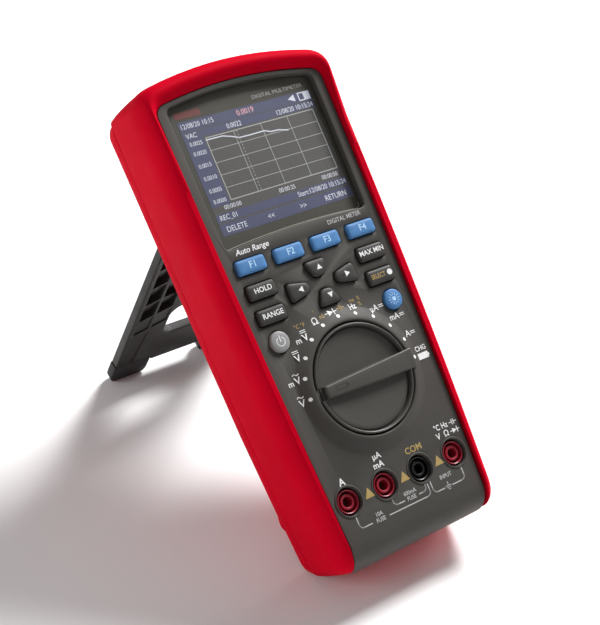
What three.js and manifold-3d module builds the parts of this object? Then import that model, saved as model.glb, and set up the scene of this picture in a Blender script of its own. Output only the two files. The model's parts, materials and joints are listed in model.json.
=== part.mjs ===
// Hand-held data-logging multimeter standing on its rear kickstand.
// Millimetres. The meter is drawn lying flat: X across the face, Y up its long
// side with Y = 0 at the centre of the rotary knob, and Z out of the face with
// Z = 0 on the dark front panel. The last section leans it back onto its stand.

import * as THREE from 'three';
import { mergeVertices } from 'three/addons/utils/BufferGeometryUtils.js';
import Module from 'manifold-3d';

const wasm = await Module();
wasm.setup();

// ---------------------------------------------------------------- dimensions

const GAP = 0.3;                      // clearance between neighbouring pieces
const LEAN = THREE.MathUtils.degToRad(46.8);
const STAND_OPEN = THREE.MathUtils.degToRad(71.7);

// Outline of the whole meter and of the dark panel, seen from the front.
const CASE = {
  halfTop: 49, halfMiddle: 48, halfBottom: 42.2, bowY: 20,
  top: 149.3, topCurve: 0.0028, topRadius: 9,
  bottom: -72.2, bottomCurve: 0.0006, bottomRadius: 9,
};
const PANEL = {
  halfTop: 42.2, halfMiddle: 41.1, halfBottom: 35.6, bowY: 20,
  top: 138.5, topCurve: 0.0026, topRadius: 5,
  bottom: -71.3, bottomCurve: 0.0017, bottomRadius: 1.5,
};
const WINDOW = {
  halfTop: 37.4, halfMiddle: 37.4, halfBottom: 36.6, bowY: 100,
  top: 136.2, topCurve: 0.0026, topRadius: 3.2,
  bottom: 70.3, bottomCurve: -0.0013, bottomRadius: 3.2,
};

// Levels through the depth of the case.
const RIM_TOP = 2.2;                  // crown of the red rim
const RIM_UNDERSIDE = -4;
const SHELL_WALL = 3.8;
const CASE_INSET = SHELL_WALL + GAP;  // outside of the dark inner case
const CASE_WALL = 2.5;
const PLATE = 3;                      // thickness of the front panel
const PANEL_WALL = 1;                 // edge left around the window pocket
const SHOULDER = RIM_UNDERSIDE - GAP;
const SPLIT = -34;                    // parting plane of the two halves
const FRONT_CASE_END = -32.4;
const REAR_TOP = SPLIT - GAP;
const REAR_INSIDE = -36.8;
const RECESS_FLOOR = -40.5;           // floor of the kickstand recess
const LOWER_BACK = -42;
const UPPER_BACK = -46;
const ROLL_START = -61;               // the panel rolls over its lower end
const ROLL_DEPTH = 13;

const LENS = { top: -PLATE - GAP, thickness: 1.8, margin: 0.6 };
const LCD = { x: 0, y: 101.5, width: 76, height: 62, top: -5.4, thickness: 2.7 };
const MAIN_BOARD = { top: -8.5, thickness: 1.6, lowerEdge: -31 };
const INPUT_BOARD = { top: -24.5, thickness: 1.6, upperEdge: 13 };
const BOARD_INSET = CASE_INSET + CASE_WALL + 0.6;

const KEY = { proud: 1.6, clearance: 0.35, flange: 0.9, flangeThickness: 1.1 };
const MAT = { top: -5.7, thickness: 1.2 };

const KNOB = { radius: 24, ring: 1.8, top: 3.2, bottom: -0.9, pocketFloor: 0.2, pointer: 26.6, pointerTop: 3.5 };
const MOUND = { foot: 31, crown: 26.4, height: 2 };  // raised cone the knob sits in
const SHAFT_RADIUS = 3.5;
const ROTOR = { radius: 20, top: -5.6, thickness: 2.6, notches: 20 };

const JACKS = [
  { name: 'amp', x: -28.5, colour: 'red' },
  { name: 'milliamp', x: -9.5, colour: 'red' },
  { name: 'common', x: 9.5, colour: 'black' },
  { name: 'volt', x: 28.5, colour: 'red' },
];
const JACK_Y = -44;
const WELL = { radius: 5.4, wall: 1.3, depth: 17 };
const SHROUD = { radius: 5.1, inside: 4.4, top: -0.4, gapFloor: -16, flangeRadius: 6.6, flangeThickness: 2 };
const POST = { radius: 3.3, top: -1.2, lipBore: 2.15, lipDepth: 1, bore: 2.8 };
const SOCKET = { radius: 2.5, bore: 2, top: -2.6 };

const BATTERY = { y: 47.5, width: 60, height: 55, top: -17, bottom: -36.5 };
const BAY = { clearance: 0.7, wall: 1.8 };
const COVER = { thickness: 1.7, seat: 4.4 };
const FUSE = { radius: 4.4, length: 38, y: -8, z: -31.9, xs: [-24, -8] };

const STAND = {
  y: 91, z: -43.5, thickness: 5, halfWidth: 36.5, rail: 2.7, rib: 25.4, barrel: 2.6,
  length: 117, footStart: 113.2, footEnd: 129.2, footInner: 15.6, pin: 1.2,
};
const SCREW = { radius: 1.5, hole: 1.85, head: 2.6, counterbore: 2.95, boss: 3.1 };
const CASE_SCREWS = [
  { name: 'upper', x: 35.5, y: 137.6, headZ: -37.6, postTop: SHOULDER - 1.2 },
  { name: 'lower', x: 31.5, y: -58.5, headZ: -38.7, postTop: 1 - PLATE },
];

// Height of the table below the knob centre, measured square to the table.
const TABLE = -77;

// ----------------------------------------------------------------- materials

const finish = (color, roughness, metalness = 0) =>
  new THREE.MeshStandardMaterial({ color, roughness, metalness });
const LOOK = {
  red: () => finish(0xd0102c, 0.55),
  panel: () => finish(0x504e4b, 0.6),
  dark: () => finish(0x33322f, 0.6),
  rubber: () => finish(0x1d1d1c, 0.85),
  blue: () => finish(0x5a8cc8, 0.5),
  grey: () => finish(0xa9aaa6, 0.55),
  glass: () => finish(0x6b6a66, 0.1),
  screen: () => finish(0x3c3d42, 0.3),
  board: () => finish(0x1f5a35, 0.5),
  mat: () => finish(0x8a8d90, 0.8),
  steel: () => finish(0xb7b9bb, 0.35, 1),
  brass: () => finish(0xc9a24a, 0.35, 1),
  ceramic: () => finish(0xe9e5da, 0.4),
  black: () => finish(0x161616, 0.5),
  battery: () => finish(0x2f5f9a, 0.5),
};

// ------------------------------------------------------------ solid handling

function toSolid(geometry) {
  const bare = geometry.clone();
  bare.deleteAttribute('normal');
  bare.deleteAttribute('uv');
  const merged = mergeVertices(bare, 1e-4);
  return new wasm.Manifold(new wasm.Mesh({
    numProp: 3,
    vertProperties: new Float32Array(merged.attributes.position.array),
    triVerts: new Uint32Array(merged.index.array),
  }));
}

function toGeometry(solid) {
  const mesh = solid.getMesh();
  const geometry = new THREE.BufferGeometry();
  geometry.setAttribute('position', new THREE.BufferAttribute(new Float32Array(mesh.vertProperties), 3));
  geometry.setIndex(new THREE.BufferAttribute(new Uint32Array(mesh.triVerts), 1));
  geometry.computeVertexNormals();
  return geometry;
}

const combine = (operation) => (first, ...others) =>
  toGeometry(others.reduce((solid, other) => solid[operation](toSolid(other)), toSolid(first)));
const cut = combine('subtract');
const join = combine('add');
const overlap = combine('intersect');

// -------------------------------------------------------------- basic shapes

// Closed outline with bowed sides, arched ends and rounded corners. The inset
// moves every side inwards and keeps the number of points.
function outline(plan, inset = 0) {
  const topRadius = Math.max(plan.topRadius - inset, 1.2);
  const bottomRadius = Math.max(plan.bottomRadius - inset, 1.2);
  const top = plan.top - inset;
  const bottom = plan.bottom + inset;
  const halfTop = plan.halfTop - inset;
  const halfBottom = plan.halfBottom - inset;
  const halfMiddle = plan.halfMiddle - inset;
  const topX = halfTop - topRadius;
  const bottomX = halfBottom - bottomRadius;
  const topY = top - plan.topCurve * topX ** 2;
  const bottomY = bottom + plan.bottomCurve * bottomX ** 2;
  const topCorner = topY - 2 * plan.topCurve * topX * topRadius;
  const bottomCorner = bottomY + 2 * plan.bottomCurve * bottomX * bottomRadius;

  const shape = new THREE.Shape();
  shape.moveTo(halfBottom, bottomCorner + bottomRadius);
  shape.quadraticCurveTo(halfMiddle, plan.bowY, halfTop, topCorner - topRadius);
  shape.quadraticCurveTo(halfTop, topCorner, topX, topY);
  shape.quadraticCurveTo(0, 2 * top - topY, -topX, topY);
  shape.quadraticCurveTo(-halfTop, topCorner, -halfTop, topCorner - topRadius);
  shape.quadraticCurveTo(-halfMiddle, plan.bowY, -halfBottom, bottomCorner + bottomRadius);
  shape.quadraticCurveTo(-halfBottom, bottomCorner, -bottomX, bottomY);
  shape.quadraticCurveTo(0, 2 * bottom - bottomY, bottomX, bottomY);
  shape.quadraticCurveTo(halfBottom, bottomCorner, halfBottom, bottomCorner + bottomRadius);
  return shape;
}

// Case outline at one level of the depth: the sides come in by one margin and
// the two ends by margins of their own.
const level = (sides, topEnd, bottomEnd) =>
  outline({ ...CASE, top: CASE.top + sides - topEnd, bottom: CASE.bottom - sides + bottomEnd }, sides);

// Polygon whose corners are rounded off, given as [x, y] points.
function rounded(points, radius) {
  const corners = points.map(([x, y]) => new THREE.Vector2(x, y));
  const shape = new THREE.Shape();
  corners.forEach((corner, i) => {
    const before = corners[(i + corners.length - 1) % corners.length];
    const after = corners[(i + 1) % corners.length];
    const start = corner.clone().lerp(before, radius / corner.distanceTo(before));
    const end = corner.clone().lerp(after, radius / corner.distanceTo(after));
    if (i === 0) shape.moveTo(start.x, start.y);
    else shape.lineTo(start.x, start.y);
    shape.quadraticCurveTo(corner.x, corner.y, end.x, end.y);
  });
  shape.closePath();
  return shape;
}

function roundedBox(width, height, radius) {
  const w = width / 2;
  const h = height / 2;
  return rounded([[-w, -h], [w, -h], [w, h], [-w, h]], radius);
}

function prism(shape, low, high, curveSegments = 4) {
  const geometry = new THREE.ExtrudeGeometry(shape, { depth: high - low, bevelEnabled: false, curveSegments });
  return geometry.translate(0, 0, low);
}

function box(x0, x1, y0, y1, z0, z1) {
  return new THREE.BoxGeometry(x1 - x0, y1 - y0, z1 - z0)
    .translate((x0 + x1) / 2, (y0 + y1) / 2, (z0 + z1) / 2);
}

// Round bar along Z.
function disc(radius, low, high, x = 0, y = 0, segments = 20) {
  return new THREE.CylinderGeometry(radius, radius, high - low, segments)
    .rotateX(Math.PI / 2).translate(x, y, (low + high) / 2);
}

// Ring around Z, from an [r, z] profile that closes on itself.
function ring(profile, segments = 32) {
  const points = [...profile, profile[0]].map(([r, z]) => new THREE.Vector2(r, z));
  return new THREE.LatheGeometry(points, segments).rotateX(Math.PI / 2);
}

// Round bar along X.
const bar = (radius, x0, x1, y, z, segments = 16) =>
  new THREE.CylinderGeometry(radius, radius, x1 - x0, segments)
    .rotateZ(Math.PI / 2).translate((x0 + x1) / 2, y, z);

// Solid through a stack of outlines that share one number of points.
function loft(sections) {
  const rings = sections.map(({ shape, height }) =>
    shape.getPoints(6).slice(0, -1).map((p) => new THREE.Vector3(p.x, p.y, height(p))));
  const count = rings[0].length;
  const caps = THREE.ShapeUtils.triangulateShape(rings[0].map((p) => new THREE.Vector2(p.x, p.y)), []);
  const faces = caps.map(([a, b, c]) => [a, c, b]);
  for (let level = 0; level + 1 < rings.length; level += 1) {
    for (let i = 0; i < count; i += 1) {
      const a = level * count + i;
      const b = level * count + (i + 1) % count;
      faces.push([a, b, b + count], [a, b + count, a + count]);
    }
  }
  const last = (rings.length - 1) * count;
  faces.push(...caps.map((face) => face.map((i) => i + last)));
  const geometry = new THREE.BufferGeometry().setFromPoints(rings.flat());
  geometry.setIndex(faces.flat());
  return geometry;
}

const flat = (z) => () => z;

// Side profile of the lower end, extruded across X: flat along the face, then
// a quarter ellipse down over the end.
function rollProfile(proud) {
  const shape = new THREE.Shape();
  shape.moveTo(160, proud + 6);
  shape.lineTo(120, proud + 6);
  shape.lineTo(100, proud);
  shape.lineTo(ROLL_START, proud);
  shape.absellipse(ROLL_START, -ROLL_DEPTH, 10.4 + proud, ROLL_DEPTH + proud, Math.PI / 2, Math.PI, false);
  shape.lineTo(ROLL_START - 10.4 - proud, -60);
  shape.lineTo(160, -60);
  shape.closePath();
  const geometry = new THREE.ExtrudeGeometry(shape, { depth: 120, bevelEnabled: false, curveSegments: 8 });
  return geometry.translate(0, 0, -60).rotateY(Math.PI / 2).rotateX(Math.PI / 2);
}

// Everything on the room's side of the table top.
function aboveTable() {
  return box(-200, 200, -200, 400, TABLE, 400).rotateX(-LEAN);
}

// ------------------------------------------------------------------- casings

const mirrored = (list) => list.flatMap((item) => [
  { ...item, side: 'left', x: -item.x },
  { ...item, side: 'right', x: item.x },
]);
const caseScrews = mirrored(CASE_SCREWS);

function sideShell() {
  const lift = (z, extra) => (p) => z + extra * THREE.MathUtils.smoothstep(p.y, 118, 141);
  const outside = loft([
    { shape: level(2.9, 0.3, 1.2), height: flat(SPLIT) },
    { shape: level(1, 0, 0.2), height: flat(-20) },
    { shape: outline(CASE, 0), height: flat(-8) },
    { shape: outline(CASE, 0.3), height: lift(-3.6, 0.8) },
    { shape: outline(CASE, 1.2), height: lift(-1.2, 1.6) },
    { shape: outline(CASE, 2.6), height: lift(0.7, 1.7) },
    { shape: outline(CASE, 4.4), height: lift(RIM_TOP - 0.2, 1.5) },
    { shape: outline(CASE, 5.8), height: lift(RIM_TOP, 1.3) },
    { shape: outline(CASE, 6.9), height: lift(RIM_TOP - 0.3, 1.3) },
  ]);
  const mouth = { ...PANEL, bottom: -90 };
  const opening = loft([
    { shape: outline(mouth, -GAP), height: flat(-ROLL_DEPTH - GAP) },
    { shape: outline(mouth, -GAP), height: flat(0) },
    { shape: outline({ ...mouth, top: mouth.top + 3.4 }, -GAP - 0.8), height: flat(RIM_TOP + 3) },
  ]);
  const cavity = prism(outline(CASE, SHELL_WALL), SPLIT - 1, RIM_UNDERSIDE, 6);
  return cut(overlap(outside, rollProfile(1.6)), opening, cavity);
}

function bosses(holeTop) {
  return caseScrews.map(({ x, y, postTop }) => ({
    post: disc(SCREW.boss, FRONT_CASE_END, postTop, x, y),
    hole: disc(SCREW.hole, FRONT_CASE_END - 1, holeTop, x, y, 12),
  }));
}

function frontCase() {
  const face = overlap(
    prism(outline(PANEL), -ROLL_DEPTH, 0, 6),
    rollProfile(0),
  );
  const mound = new THREE.CylinderGeometry(MOUND.crown, 2 * MOUND.foot - MOUND.crown, 2 * MOUND.height, 48)
    .rotateX(Math.PI / 2);
  const body = overlap(prism(outline(CASE, CASE_INSET), FRONT_CASE_END, SHOULDER, 6), rollProfile(0));
  const hollow = prism(outline(CASE, CASE_INSET + CASE_WALL), FRONT_CASE_END - 1, SHOULDER - CASE_WALL, 6);
  const underPanel = prism(outline({ ...PANEL, bottom: -63 }, PANEL_WALL), FRONT_CASE_END - 1, -PLATE, 6);
  const posts = bosses(-20);
  const wells = JACKS.map(({ x }) => disc(WELL.radius + WELL.wall, -WELL.depth, -PLATE + 1, x, JACK_Y, 24));
  const holes = [
    prism(outline(WINDOW), -PLATE - 1, 1, 6),
    disc(SHAFT_RADIUS + GAP, -PLATE - 1, 1, 0, 0),
    disc(KNOB.radius + GAP, KNOB.bottom - GAP, MOUND.height + 1, 0, 0, 48),
    ...JACKS.map(({ x }) => disc(WELL.radius, -WELL.depth - 1, 1, x, JACK_Y, 24)),
    ...KEYS.map((key) => prism(key.shape(KEY.clearance), -PLATE - 1, 1).translate(key.x, key.y, 0)),
  ];
  const shell = join(cut(join(face, body, mound), hollow, underPanel), ...posts.map(({ post }) => post), ...wells);
  return cut(shell, ...holes, ...posts.map(({ hole }) => hole));
}

function rearCase() {
  const outside = loft([
    { shape: level(7.5, 5, 8.5), height: flat(UPPER_BACK) },
    { shape: level(4.7, 2.2, 6), height: flat(-43.5) },
    { shape: level(3.5, 0.9, 3.6), height: flat(-40) },
    { shape: level(2.9, 0.3, 1.4), height: flat(REAR_TOP) },
  ]);
  const hollow = prism(outline(CASE, CASE_INSET + CASE_WALL), REAR_INSIDE, REAR_TOP + 1, 6);
  const lowStep = prism(rounded([[-80, -90], [80, -90], [80, -44.5], [-80, -44.5]], 1), UPPER_BACK - 1, LOWER_BACK);
  const recess = prism(roundedBox(2 * STAND.halfWidth + 1.6, 139.5, 2.5), UPPER_BACK - 1, RECESS_FLOOR)
    .translate(0, 24.6, 0);
  const bayWidth = BATTERY.width + 2 * BAY.clearance;
  const bayHeight = BATTERY.height + 2 * BAY.clearance;
  const place = (shape, low, high) => prism(shape, low, high).translate(0, BATTERY.y, 0);
  const bay = place(roundedBox(bayWidth + 2 * BAY.wall, bayHeight + 2 * BAY.wall, 2),
    REAR_INSIDE - 1, BATTERY.top + BAY.clearance + BAY.wall);
  const bayHollow = place(roundedBox(bayWidth, bayHeight, 1.5), RECESS_FLOOR - 1, BATTERY.top + BAY.clearance);
  const coverSeat = place(roundedBox(bayWidth + 2 * COVER.seat, bayHeight + 2 * COVER.seat, 2),
    RECESS_FLOOR - 1, RECESS_FLOOR + COVER.thickness + GAP);
  const screwHoles = caseScrews.flatMap(({ x, y, headZ }) => [
    disc(SCREW.hole, UPPER_BACK - 1, REAR_TOP + 1, x, y, 12),
    disc(SCREW.counterbore, UPPER_BACK - 1, headZ + 0.2, x, y),
  ]);
  const coverHoles = coverScrews.map(({ x, y }) => disc(1.3, RECESS_FLOOR, -33, x, y, 12));
  const contactSlots = contacts.map(({ x }) => box(x - 2.8, x + 2.8, CONTACT_Y - 1.1, CONTACT_Y + 1.1, -20, -10));
  const pinBore = bar(STAND.pin + GAP, -39.4, 39.4, STAND.y, STAND.z);
  const fingerNotch = bar(7, -8, 8, -46, LOWER_BACK - 3.8, 24);
  return overlap(
    cut(join(cut(outside, hollow), bay), lowStep, recess, bayHollow, coverSeat, fingerNotch,
      pinBore, ...screwHoles, ...coverHoles, ...contactSlots),
    aboveTable(),
  );
}

function caseSeal() {
  const low = SPLIT + 0.1;
  const high = FRONT_CASE_END - GAP;
  return cut(prism(outline(CASE, CASE_INSET + 0.5), low, high, 6), prism(outline(CASE, CASE_INSET + 2), low - 1, high + 1, 6));
}

// ------------------------------------------------------------------- display

const displayLens = () =>
  prism(outline(WINDOW, -LENS.margin), LENS.top - LENS.thickness, LENS.top, 6);

function lcdModule() {
  return prism(roundedBox(LCD.width, LCD.height, 1.5), LCD.top - LCD.thickness, LCD.top).translate(LCD.x, LCD.y, 0);
}

// ---------------------------------------------------------------------- keys

// Each key has an outline that can grow by a margin, for its hole and flange.
const barKey = (width, height, radius) => (grow = 0) =>
  roundedBox(width + 2 * grow, height + 2 * grow, radius + grow / 2);
const roundKey = (radius) => (grow = 0) =>
  new THREE.Shape().absarc(0, 0, radius + grow, 0, 2 * Math.PI);
const petalKey = (width, depth, turn) => (grow = 0) => {
  const w = width / 2 + grow;
  const d = depth / 2 + grow;
  const corners = [[-w, d], [w, d], [w * 0.5, -d], [-w * 0.5, -d]];
  const turned = corners.map(([x, y]) => [
    x * Math.cos(turn) - y * Math.sin(turn),
    x * Math.sin(turn) + y * Math.cos(turn),
  ]);
  return rounded(turned, 2.2);
};

const functionKey = barKey(14.3, 6.3, 1.5);
const blackKey = barKey(13.8, 6.5, 1.5);
const KEYS = [
  ...[-28.8, -9.6, 9.6, 28.8].map((x, i) =>
    ({ name: `function_key_${i + 1}`, x, y: 60.1, shape: functionKey, look: LOOK.blue })),
  { name: 'hold_key', x: -28.75, y: 48.9, shape: blackKey, look: LOOK.rubber },
  { name: 'range_key', x: -28.75, y: 37.9, shape: blackKey, look: LOOK.rubber },
  { name: 'max_min_key', x: 28.75, y: 48.9, shape: blackKey, look: LOOK.rubber },
  { name: 'select_key', x: 28.75, y: 37.9, shape: blackKey, look: LOOK.rubber },
  { name: 'power_key', x: -30.1, y: 26.5, shape: roundKey(4.5), look: LOOK.grey },
  { name: 'lamp_key', x: 30.1, y: 26.5, shape: roundKey(4.5), look: LOOK.blue },
  { name: 'up_key', x: 0, y: 50.1, shape: petalKey(11, 7.2, 0), look: LOOK.rubber },
  { name: 'down_key', x: 0, y: 37.25, shape: petalKey(11, 7.2, Math.PI), look: LOOK.rubber },
  { name: 'left_key', x: -12.2, y: 43.6, shape: petalKey(8.8, 10.6, Math.PI / 2), look: LOOK.rubber },
  { name: 'right_key', x: 12.2, y: 43.6, shape: petalKey(8.8, 10.6, -Math.PI / 2), look: LOOK.rubber },
];

function keyCap(key) {
  const flangeTop = -PLATE - GAP;
  const cap = prism(key.shape(), flangeTop - 0.5, KEY.proud);
  const flange = prism(key.shape(KEY.flange), flangeTop - KEY.flangeThickness, flangeTop);
  return join(cap, flange).translate(key.x, key.y, 0);
}

function keypadMat() {
  const sheet = prism(roundedBox(73, 47, 3), MAT.top - MAT.thickness, MAT.top).translate(0, 42.5, 0);
  return cut(sheet, disc(ROTOR.radius + 2, -20, 0, 0, 0, 40));
}

// ---------------------------------------------------------------------- knob

function selectorKnob() {
  const body = disc(KNOB.radius, KNOB.bottom, KNOB.top, 0, 0, 48);
  const inner = KNOB.radius - KNOB.ring;
  const pocket = (side) => {
    const shape = new THREE.Shape();
    const tail = Math.asin(2.6 / inner);
    const nose = Math.asin(4.4 / inner);
    const from = side > 0 ? nose : Math.PI + tail;
    const to = side > 0 ? Math.PI - tail : 2 * Math.PI - nose;
    shape.absarc(0, 0, inner, from, to);
    shape.closePath();
    return prism(shape, KNOB.pocketFloor, KNOB.top + 1, 14);
  };
  const tail = box(-KNOB.radius - 1, -20.6, -2.4, 2.4, KNOB.pocketFloor + 1, KNOB.top + 1);
  const bar = rounded([[-20.6, -2.5], [KNOB.pointer, -4.4], [KNOB.pointer, 4.4], [-20.6, 2.5]], 0.8);
  const pointer = prism(bar, MOUND.height + GAP + 0.1, KNOB.pointerTop);
  return join(cut(body, pocket(1), pocket(-1), tail), pointer);
}

const knobShaft = () => disc(SHAFT_RADIUS, ROTOR.top + GAP, KNOB.bottom - GAP);

// Contact disc with a notch for each step of the knob.
function contactRotor() {
  const shape = new THREE.Shape();
  const steps = ROTOR.notches * 4;
  for (let i = 0; i < steps; i += 1) {
    const angle = (2 * Math.PI * i) / steps;
    const radius = ROTOR.radius - 0.35 * (1 + Math.cos(angle * ROTOR.notches));
    if (i === 0) shape.moveTo(radius, 0);
    else shape.lineTo(radius * Math.cos(angle), radius * Math.sin(angle));
  }
  shape.closePath();
  return prism(shape, ROTOR.top - ROTOR.thickness, ROTOR.top);
}

// Leaf with a rounded bump that rides in the rotor's notches.
function detentSpring() {
  const leaf = box(-9, 9, -ROTOR.radius - 2.2, -ROTOR.radius - 1.5, ROTOR.top - 2.2, ROTOR.top - 0.4);
  const bump = disc(0.9, ROTOR.top - 2.2, ROTOR.top - 0.4, 0, -ROTOR.radius - 1.3, 12);
  return join(leaf, bump);
}

const knobSeal = () => {
  const radius = SHAFT_RADIUS + 1.6;
  const section = [0, 1, 2, 3, 4, 5].map((i) => [
    radius + 0.9 * Math.cos((i * Math.PI) / 3),
    -PLATE - GAP - 0.9 + 0.9 * Math.sin((i * Math.PI) / 3),
  ]);
  return ring(section, 24);
};

// --------------------------------------------------------------------- jacks

// Coloured cup with a post in its middle. A plug's shroud enters the gap
// between them, and the plug's pin enters the post.
function jackShroud({ x }) {
  const bottom = INPUT_BOARD.top + GAP;
  const flangeTop = bottom + SHROUD.flangeThickness;
  return ring([
    [POST.bore, bottom], [SHROUD.flangeRadius, bottom], [SHROUD.flangeRadius, flangeTop],
    [SHROUD.radius, flangeTop], [SHROUD.radius, SHROUD.top], [SHROUD.inside, SHROUD.top],
    [SHROUD.inside, SHROUD.gapFloor], [POST.radius, SHROUD.gapFloor], [POST.radius, POST.top],
    [POST.lipBore, POST.top], [POST.lipBore, POST.top - POST.lipDepth], [POST.bore, POST.top - POST.lipDepth],
  ], 24).translate(x, JACK_Y, 0);
}

function jackSocket({ x }) {
  const bottom = INPUT_BOARD.top + GAP;
  return cut(
    disc(SOCKET.radius, bottom, SOCKET.top),
    disc(SOCKET.bore, bottom + 1.5, SOCKET.top + 1),
  ).translate(x, JACK_Y, 0);
}

// ------------------------------------------------- boards, fuses and battery

const CONTACT_Y = BATTERY.y - 20;
const contacts = [{ name: 'left', x: -18 }, { name: 'right', x: 18 }];

function mainBoard() {
  const low = MAIN_BOARD.top - MAIN_BOARD.thickness;
  const sheet = prism(outline(CASE, BOARD_INSET), low, MAIN_BOARD.top);
  const belowEdge = box(-60, 60, -90, MAIN_BOARD.lowerEdge, low - 1, MAIN_BOARD.top + 1);
  const clearances = caseScrews.map(({ x, y }) => disc(SCREW.boss + GAP, low - 1, MAIN_BOARD.top + 1, x, y));
  return cut(sheet, belowEdge, ...clearances);
}

function inputBoard() {
  const low = INPUT_BOARD.top - INPUT_BOARD.thickness;
  const sheet = prism(outline(CASE, BOARD_INSET), low, INPUT_BOARD.top);
  const aboveEdge = box(-60, 60, INPUT_BOARD.upperEdge, 160, low - 1, INPUT_BOARD.top + 1);
  const clearances = caseScrews.map(({ x, y }) => disc(SCREW.boss + GAP, low - 1, INPUT_BOARD.top + 1, x, y));
  return cut(sheet, aboveEdge, ...clearances);
}

function boardConnector() {
  const top = MAIN_BOARD.top - MAIN_BOARD.thickness - GAP;
  return box(6, 28, -9, -4, INPUT_BOARD.top + GAP, top);
}

function shieldCan() {
  const top = MAIN_BOARD.top - MAIN_BOARD.thickness - GAP;
  const can = box(-4, 32, 86, 118, top - 4, top);
  return cut(can, box(-3.4, 31.4, 86.6, 117.4, top - 3.4, top + 1));
}

const buzzer = () => disc(8, -13.4, -10.4, -25, 104, 24);

const fuse = (x) => disc(FUSE.radius, 0, FUSE.length, 0, 0, 20)
  .rotateX(-Math.PI / 2).translate(x, FUSE.y - FUSE.length / 2, FUSE.z);

// Spring clip under the board, with two arms that hug one end of a fuse.
function fuseClip(x, y) {
  const top = INPUT_BOARD.top - INPUT_BOARD.thickness - GAP;
  const outer = box(x - 5.4, x + 5.4, y - 3, y + 3, FUSE.z - 2.6, top);
  const seat = disc(FUSE.radius + GAP, -4, 4, 0, 0, 20).rotateX(Math.PI / 2).translate(x, y, FUSE.z);
  const mouth = box(x - 3.4, x + 3.4, y - 4, y + 4, FUSE.z - 3, FUSE.z);
  return cut(outer, seat, mouth);
}

const batteryPack = () =>
  prism(roundedBox(BATTERY.width, BATTERY.height, 3), BATTERY.bottom, BATTERY.top).translate(0, BATTERY.y, 0);

const batteryContact = ({ x }) => box(x - 2.2, x + 2.2, CONTACT_Y - 0.7, CONTACT_Y + 0.7, -16.6, -10.5);

const coverScrews = mirrored([{ x: 24, y: 0 }]).map((screw) => ({
  ...screw, y: BATTERY.y - BATTERY.height / 2 - BAY.clearance - 1.9,
}));

function batteryCover() {
  const width = BATTERY.width + 2 * (BAY.clearance + COVER.seat - GAP);
  const height = BATTERY.height + 2 * (BAY.clearance + COVER.seat - GAP);
  const plate = prism(roundedBox(width, height, 1.8), RECESS_FLOOR, RECESS_FLOOR + COVER.thickness)
    .translate(0, BATTERY.y, 0);
  const rib = box(-26, 26, BATTERY.y - 1, BATTERY.y + 1, RECESS_FLOOR + 1, BATTERY.bottom - GAP);
  const holes = coverScrews.flatMap(({ x, y }) => [
    disc(1.3, RECESS_FLOOR - 1, -38, x, y, 12),
    disc(2, RECESS_FLOOR - 1, RECESS_FLOOR + 0.9, x, y, 16),
  ]);
  return cut(join(plate, rib), ...holes);
}

// Pan-head screw pointing into the case, with a cross slot.
function screw(x, y, headBottom, shankEnd, headRadius, shankRadius, headHeight) {
  const head = disc(headRadius, headBottom, headBottom + headHeight, 0, 0, 16);
  const shank = disc(shankRadius, headBottom + 0.2, shankEnd, 0, 0, 10);
  const slot = headHeight / 2;
  return cut(
    join(head, shank),
    box(-headRadius * 0.6, headRadius * 0.6, -0.3, 0.3, headBottom - 1, headBottom + slot),
    box(-0.3, 0.3, -headRadius * 0.6, headRadius * 0.6, headBottom - 1, headBottom + slot),
  ).translate(x, y, 0);
}

// ----------------------------------------------------------------- kickstand
// Drawn folded, with its hinge axis on X through the origin and its free end
// towards -Y. The face towards +Z carries the pockets between the ribs.

function standOutline(inset = 0) {
  const w = STAND.halfWidth - inset;
  const end = -STAND.length + inset;
  return rounded([[-w, -inset], [-w, end], [w, end], [w, -inset]], 1.5);
}

// The opening in the lower middle, with its corners cut across.
function standHole() {
  return rounded([
    [-10.5, -93.5], [10.5, -93.5], [15, -89.5], [15, -73.5], [11.5, -69], [-11.5, -69], [-15, -73.5], [-15, -89.5],
  ], 2.4);
}

// Lattice pockets left between the rails, the ribs and slanted cross bars.
function standPockets() {
  const outer = STAND.halfWidth - STAND.rail;
  const half = 0.8;
  const rows = [-84.5, -72, -57.5, -43, -28, -12];
  const slant = 3;
  const cell = (x0, x1, y0, y1) =>
    rounded([[x0, y0], [x1, y0 + slant], [x1, y1 + slant], [x0, y1]], 0.8);
  const pockets = [];
  for (let i = 0; i + 1 < rows.length; i += 1) {
    const low = rows[i] + half;
    const high = rows[i + 1] - half;
    for (const side of [-1, 1]) {
      const inner = i < 2 ? 16.4 : half;
      pockets.push(cell(side * outer, side * (STAND.rib + half), low, high));
      pockets.push(cell(side * (STAND.rib - half), side * inner, low + slant, high + slant));
    }
  }
  return pockets;
}

function kickstand() {
  const half = STAND.thickness / 2;
  const plate = prism(standOutline(), -half, half);
  const barrel = bar(STAND.barrel, -STAND.halfWidth, STAND.halfWidth, 0, 0, 20);
  const pockets = standPockets().map((shape) => prism(shape, half - 3, half + 1, 2));
  const tongue = STAND.footStart - 0.5;
  const footCuts = [-1, 1].map((side) => box(
    Math.min(side * STAND.footInner, side * 60), Math.max(side * STAND.footInner, side * 60),
    -STAND.footEnd - 5, -tongue, -half - 1, half + 1,
  ));
  return cut(
    join(plate, barrel),
    prism(standHole(), -half - 1, half + 1),
    ...footCuts,
    ...pockets,
    bar(STAND.pin + GAP, -60, 60, 0, 0, 12),
  );
}

// Rubber foot on one corner of the stand's free end.
function standFoot(side) {
  const half = STAND.thickness / 2;
  const inner = side * (STAND.footInner + 0.3);
  const outer = side * (STAND.halfWidth + 0.4);
  const start = -STAND.footStart - 0.2;
  const shape = rounded([[inner, -100], [outer, -100], [outer, -STAND.footEnd], [inner, -STAND.footEnd]], 7);
  return overlap(prism(shape, -half, half, 6), box(-60, 60, -150, start, -half - 1, half + 1));
}

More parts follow.
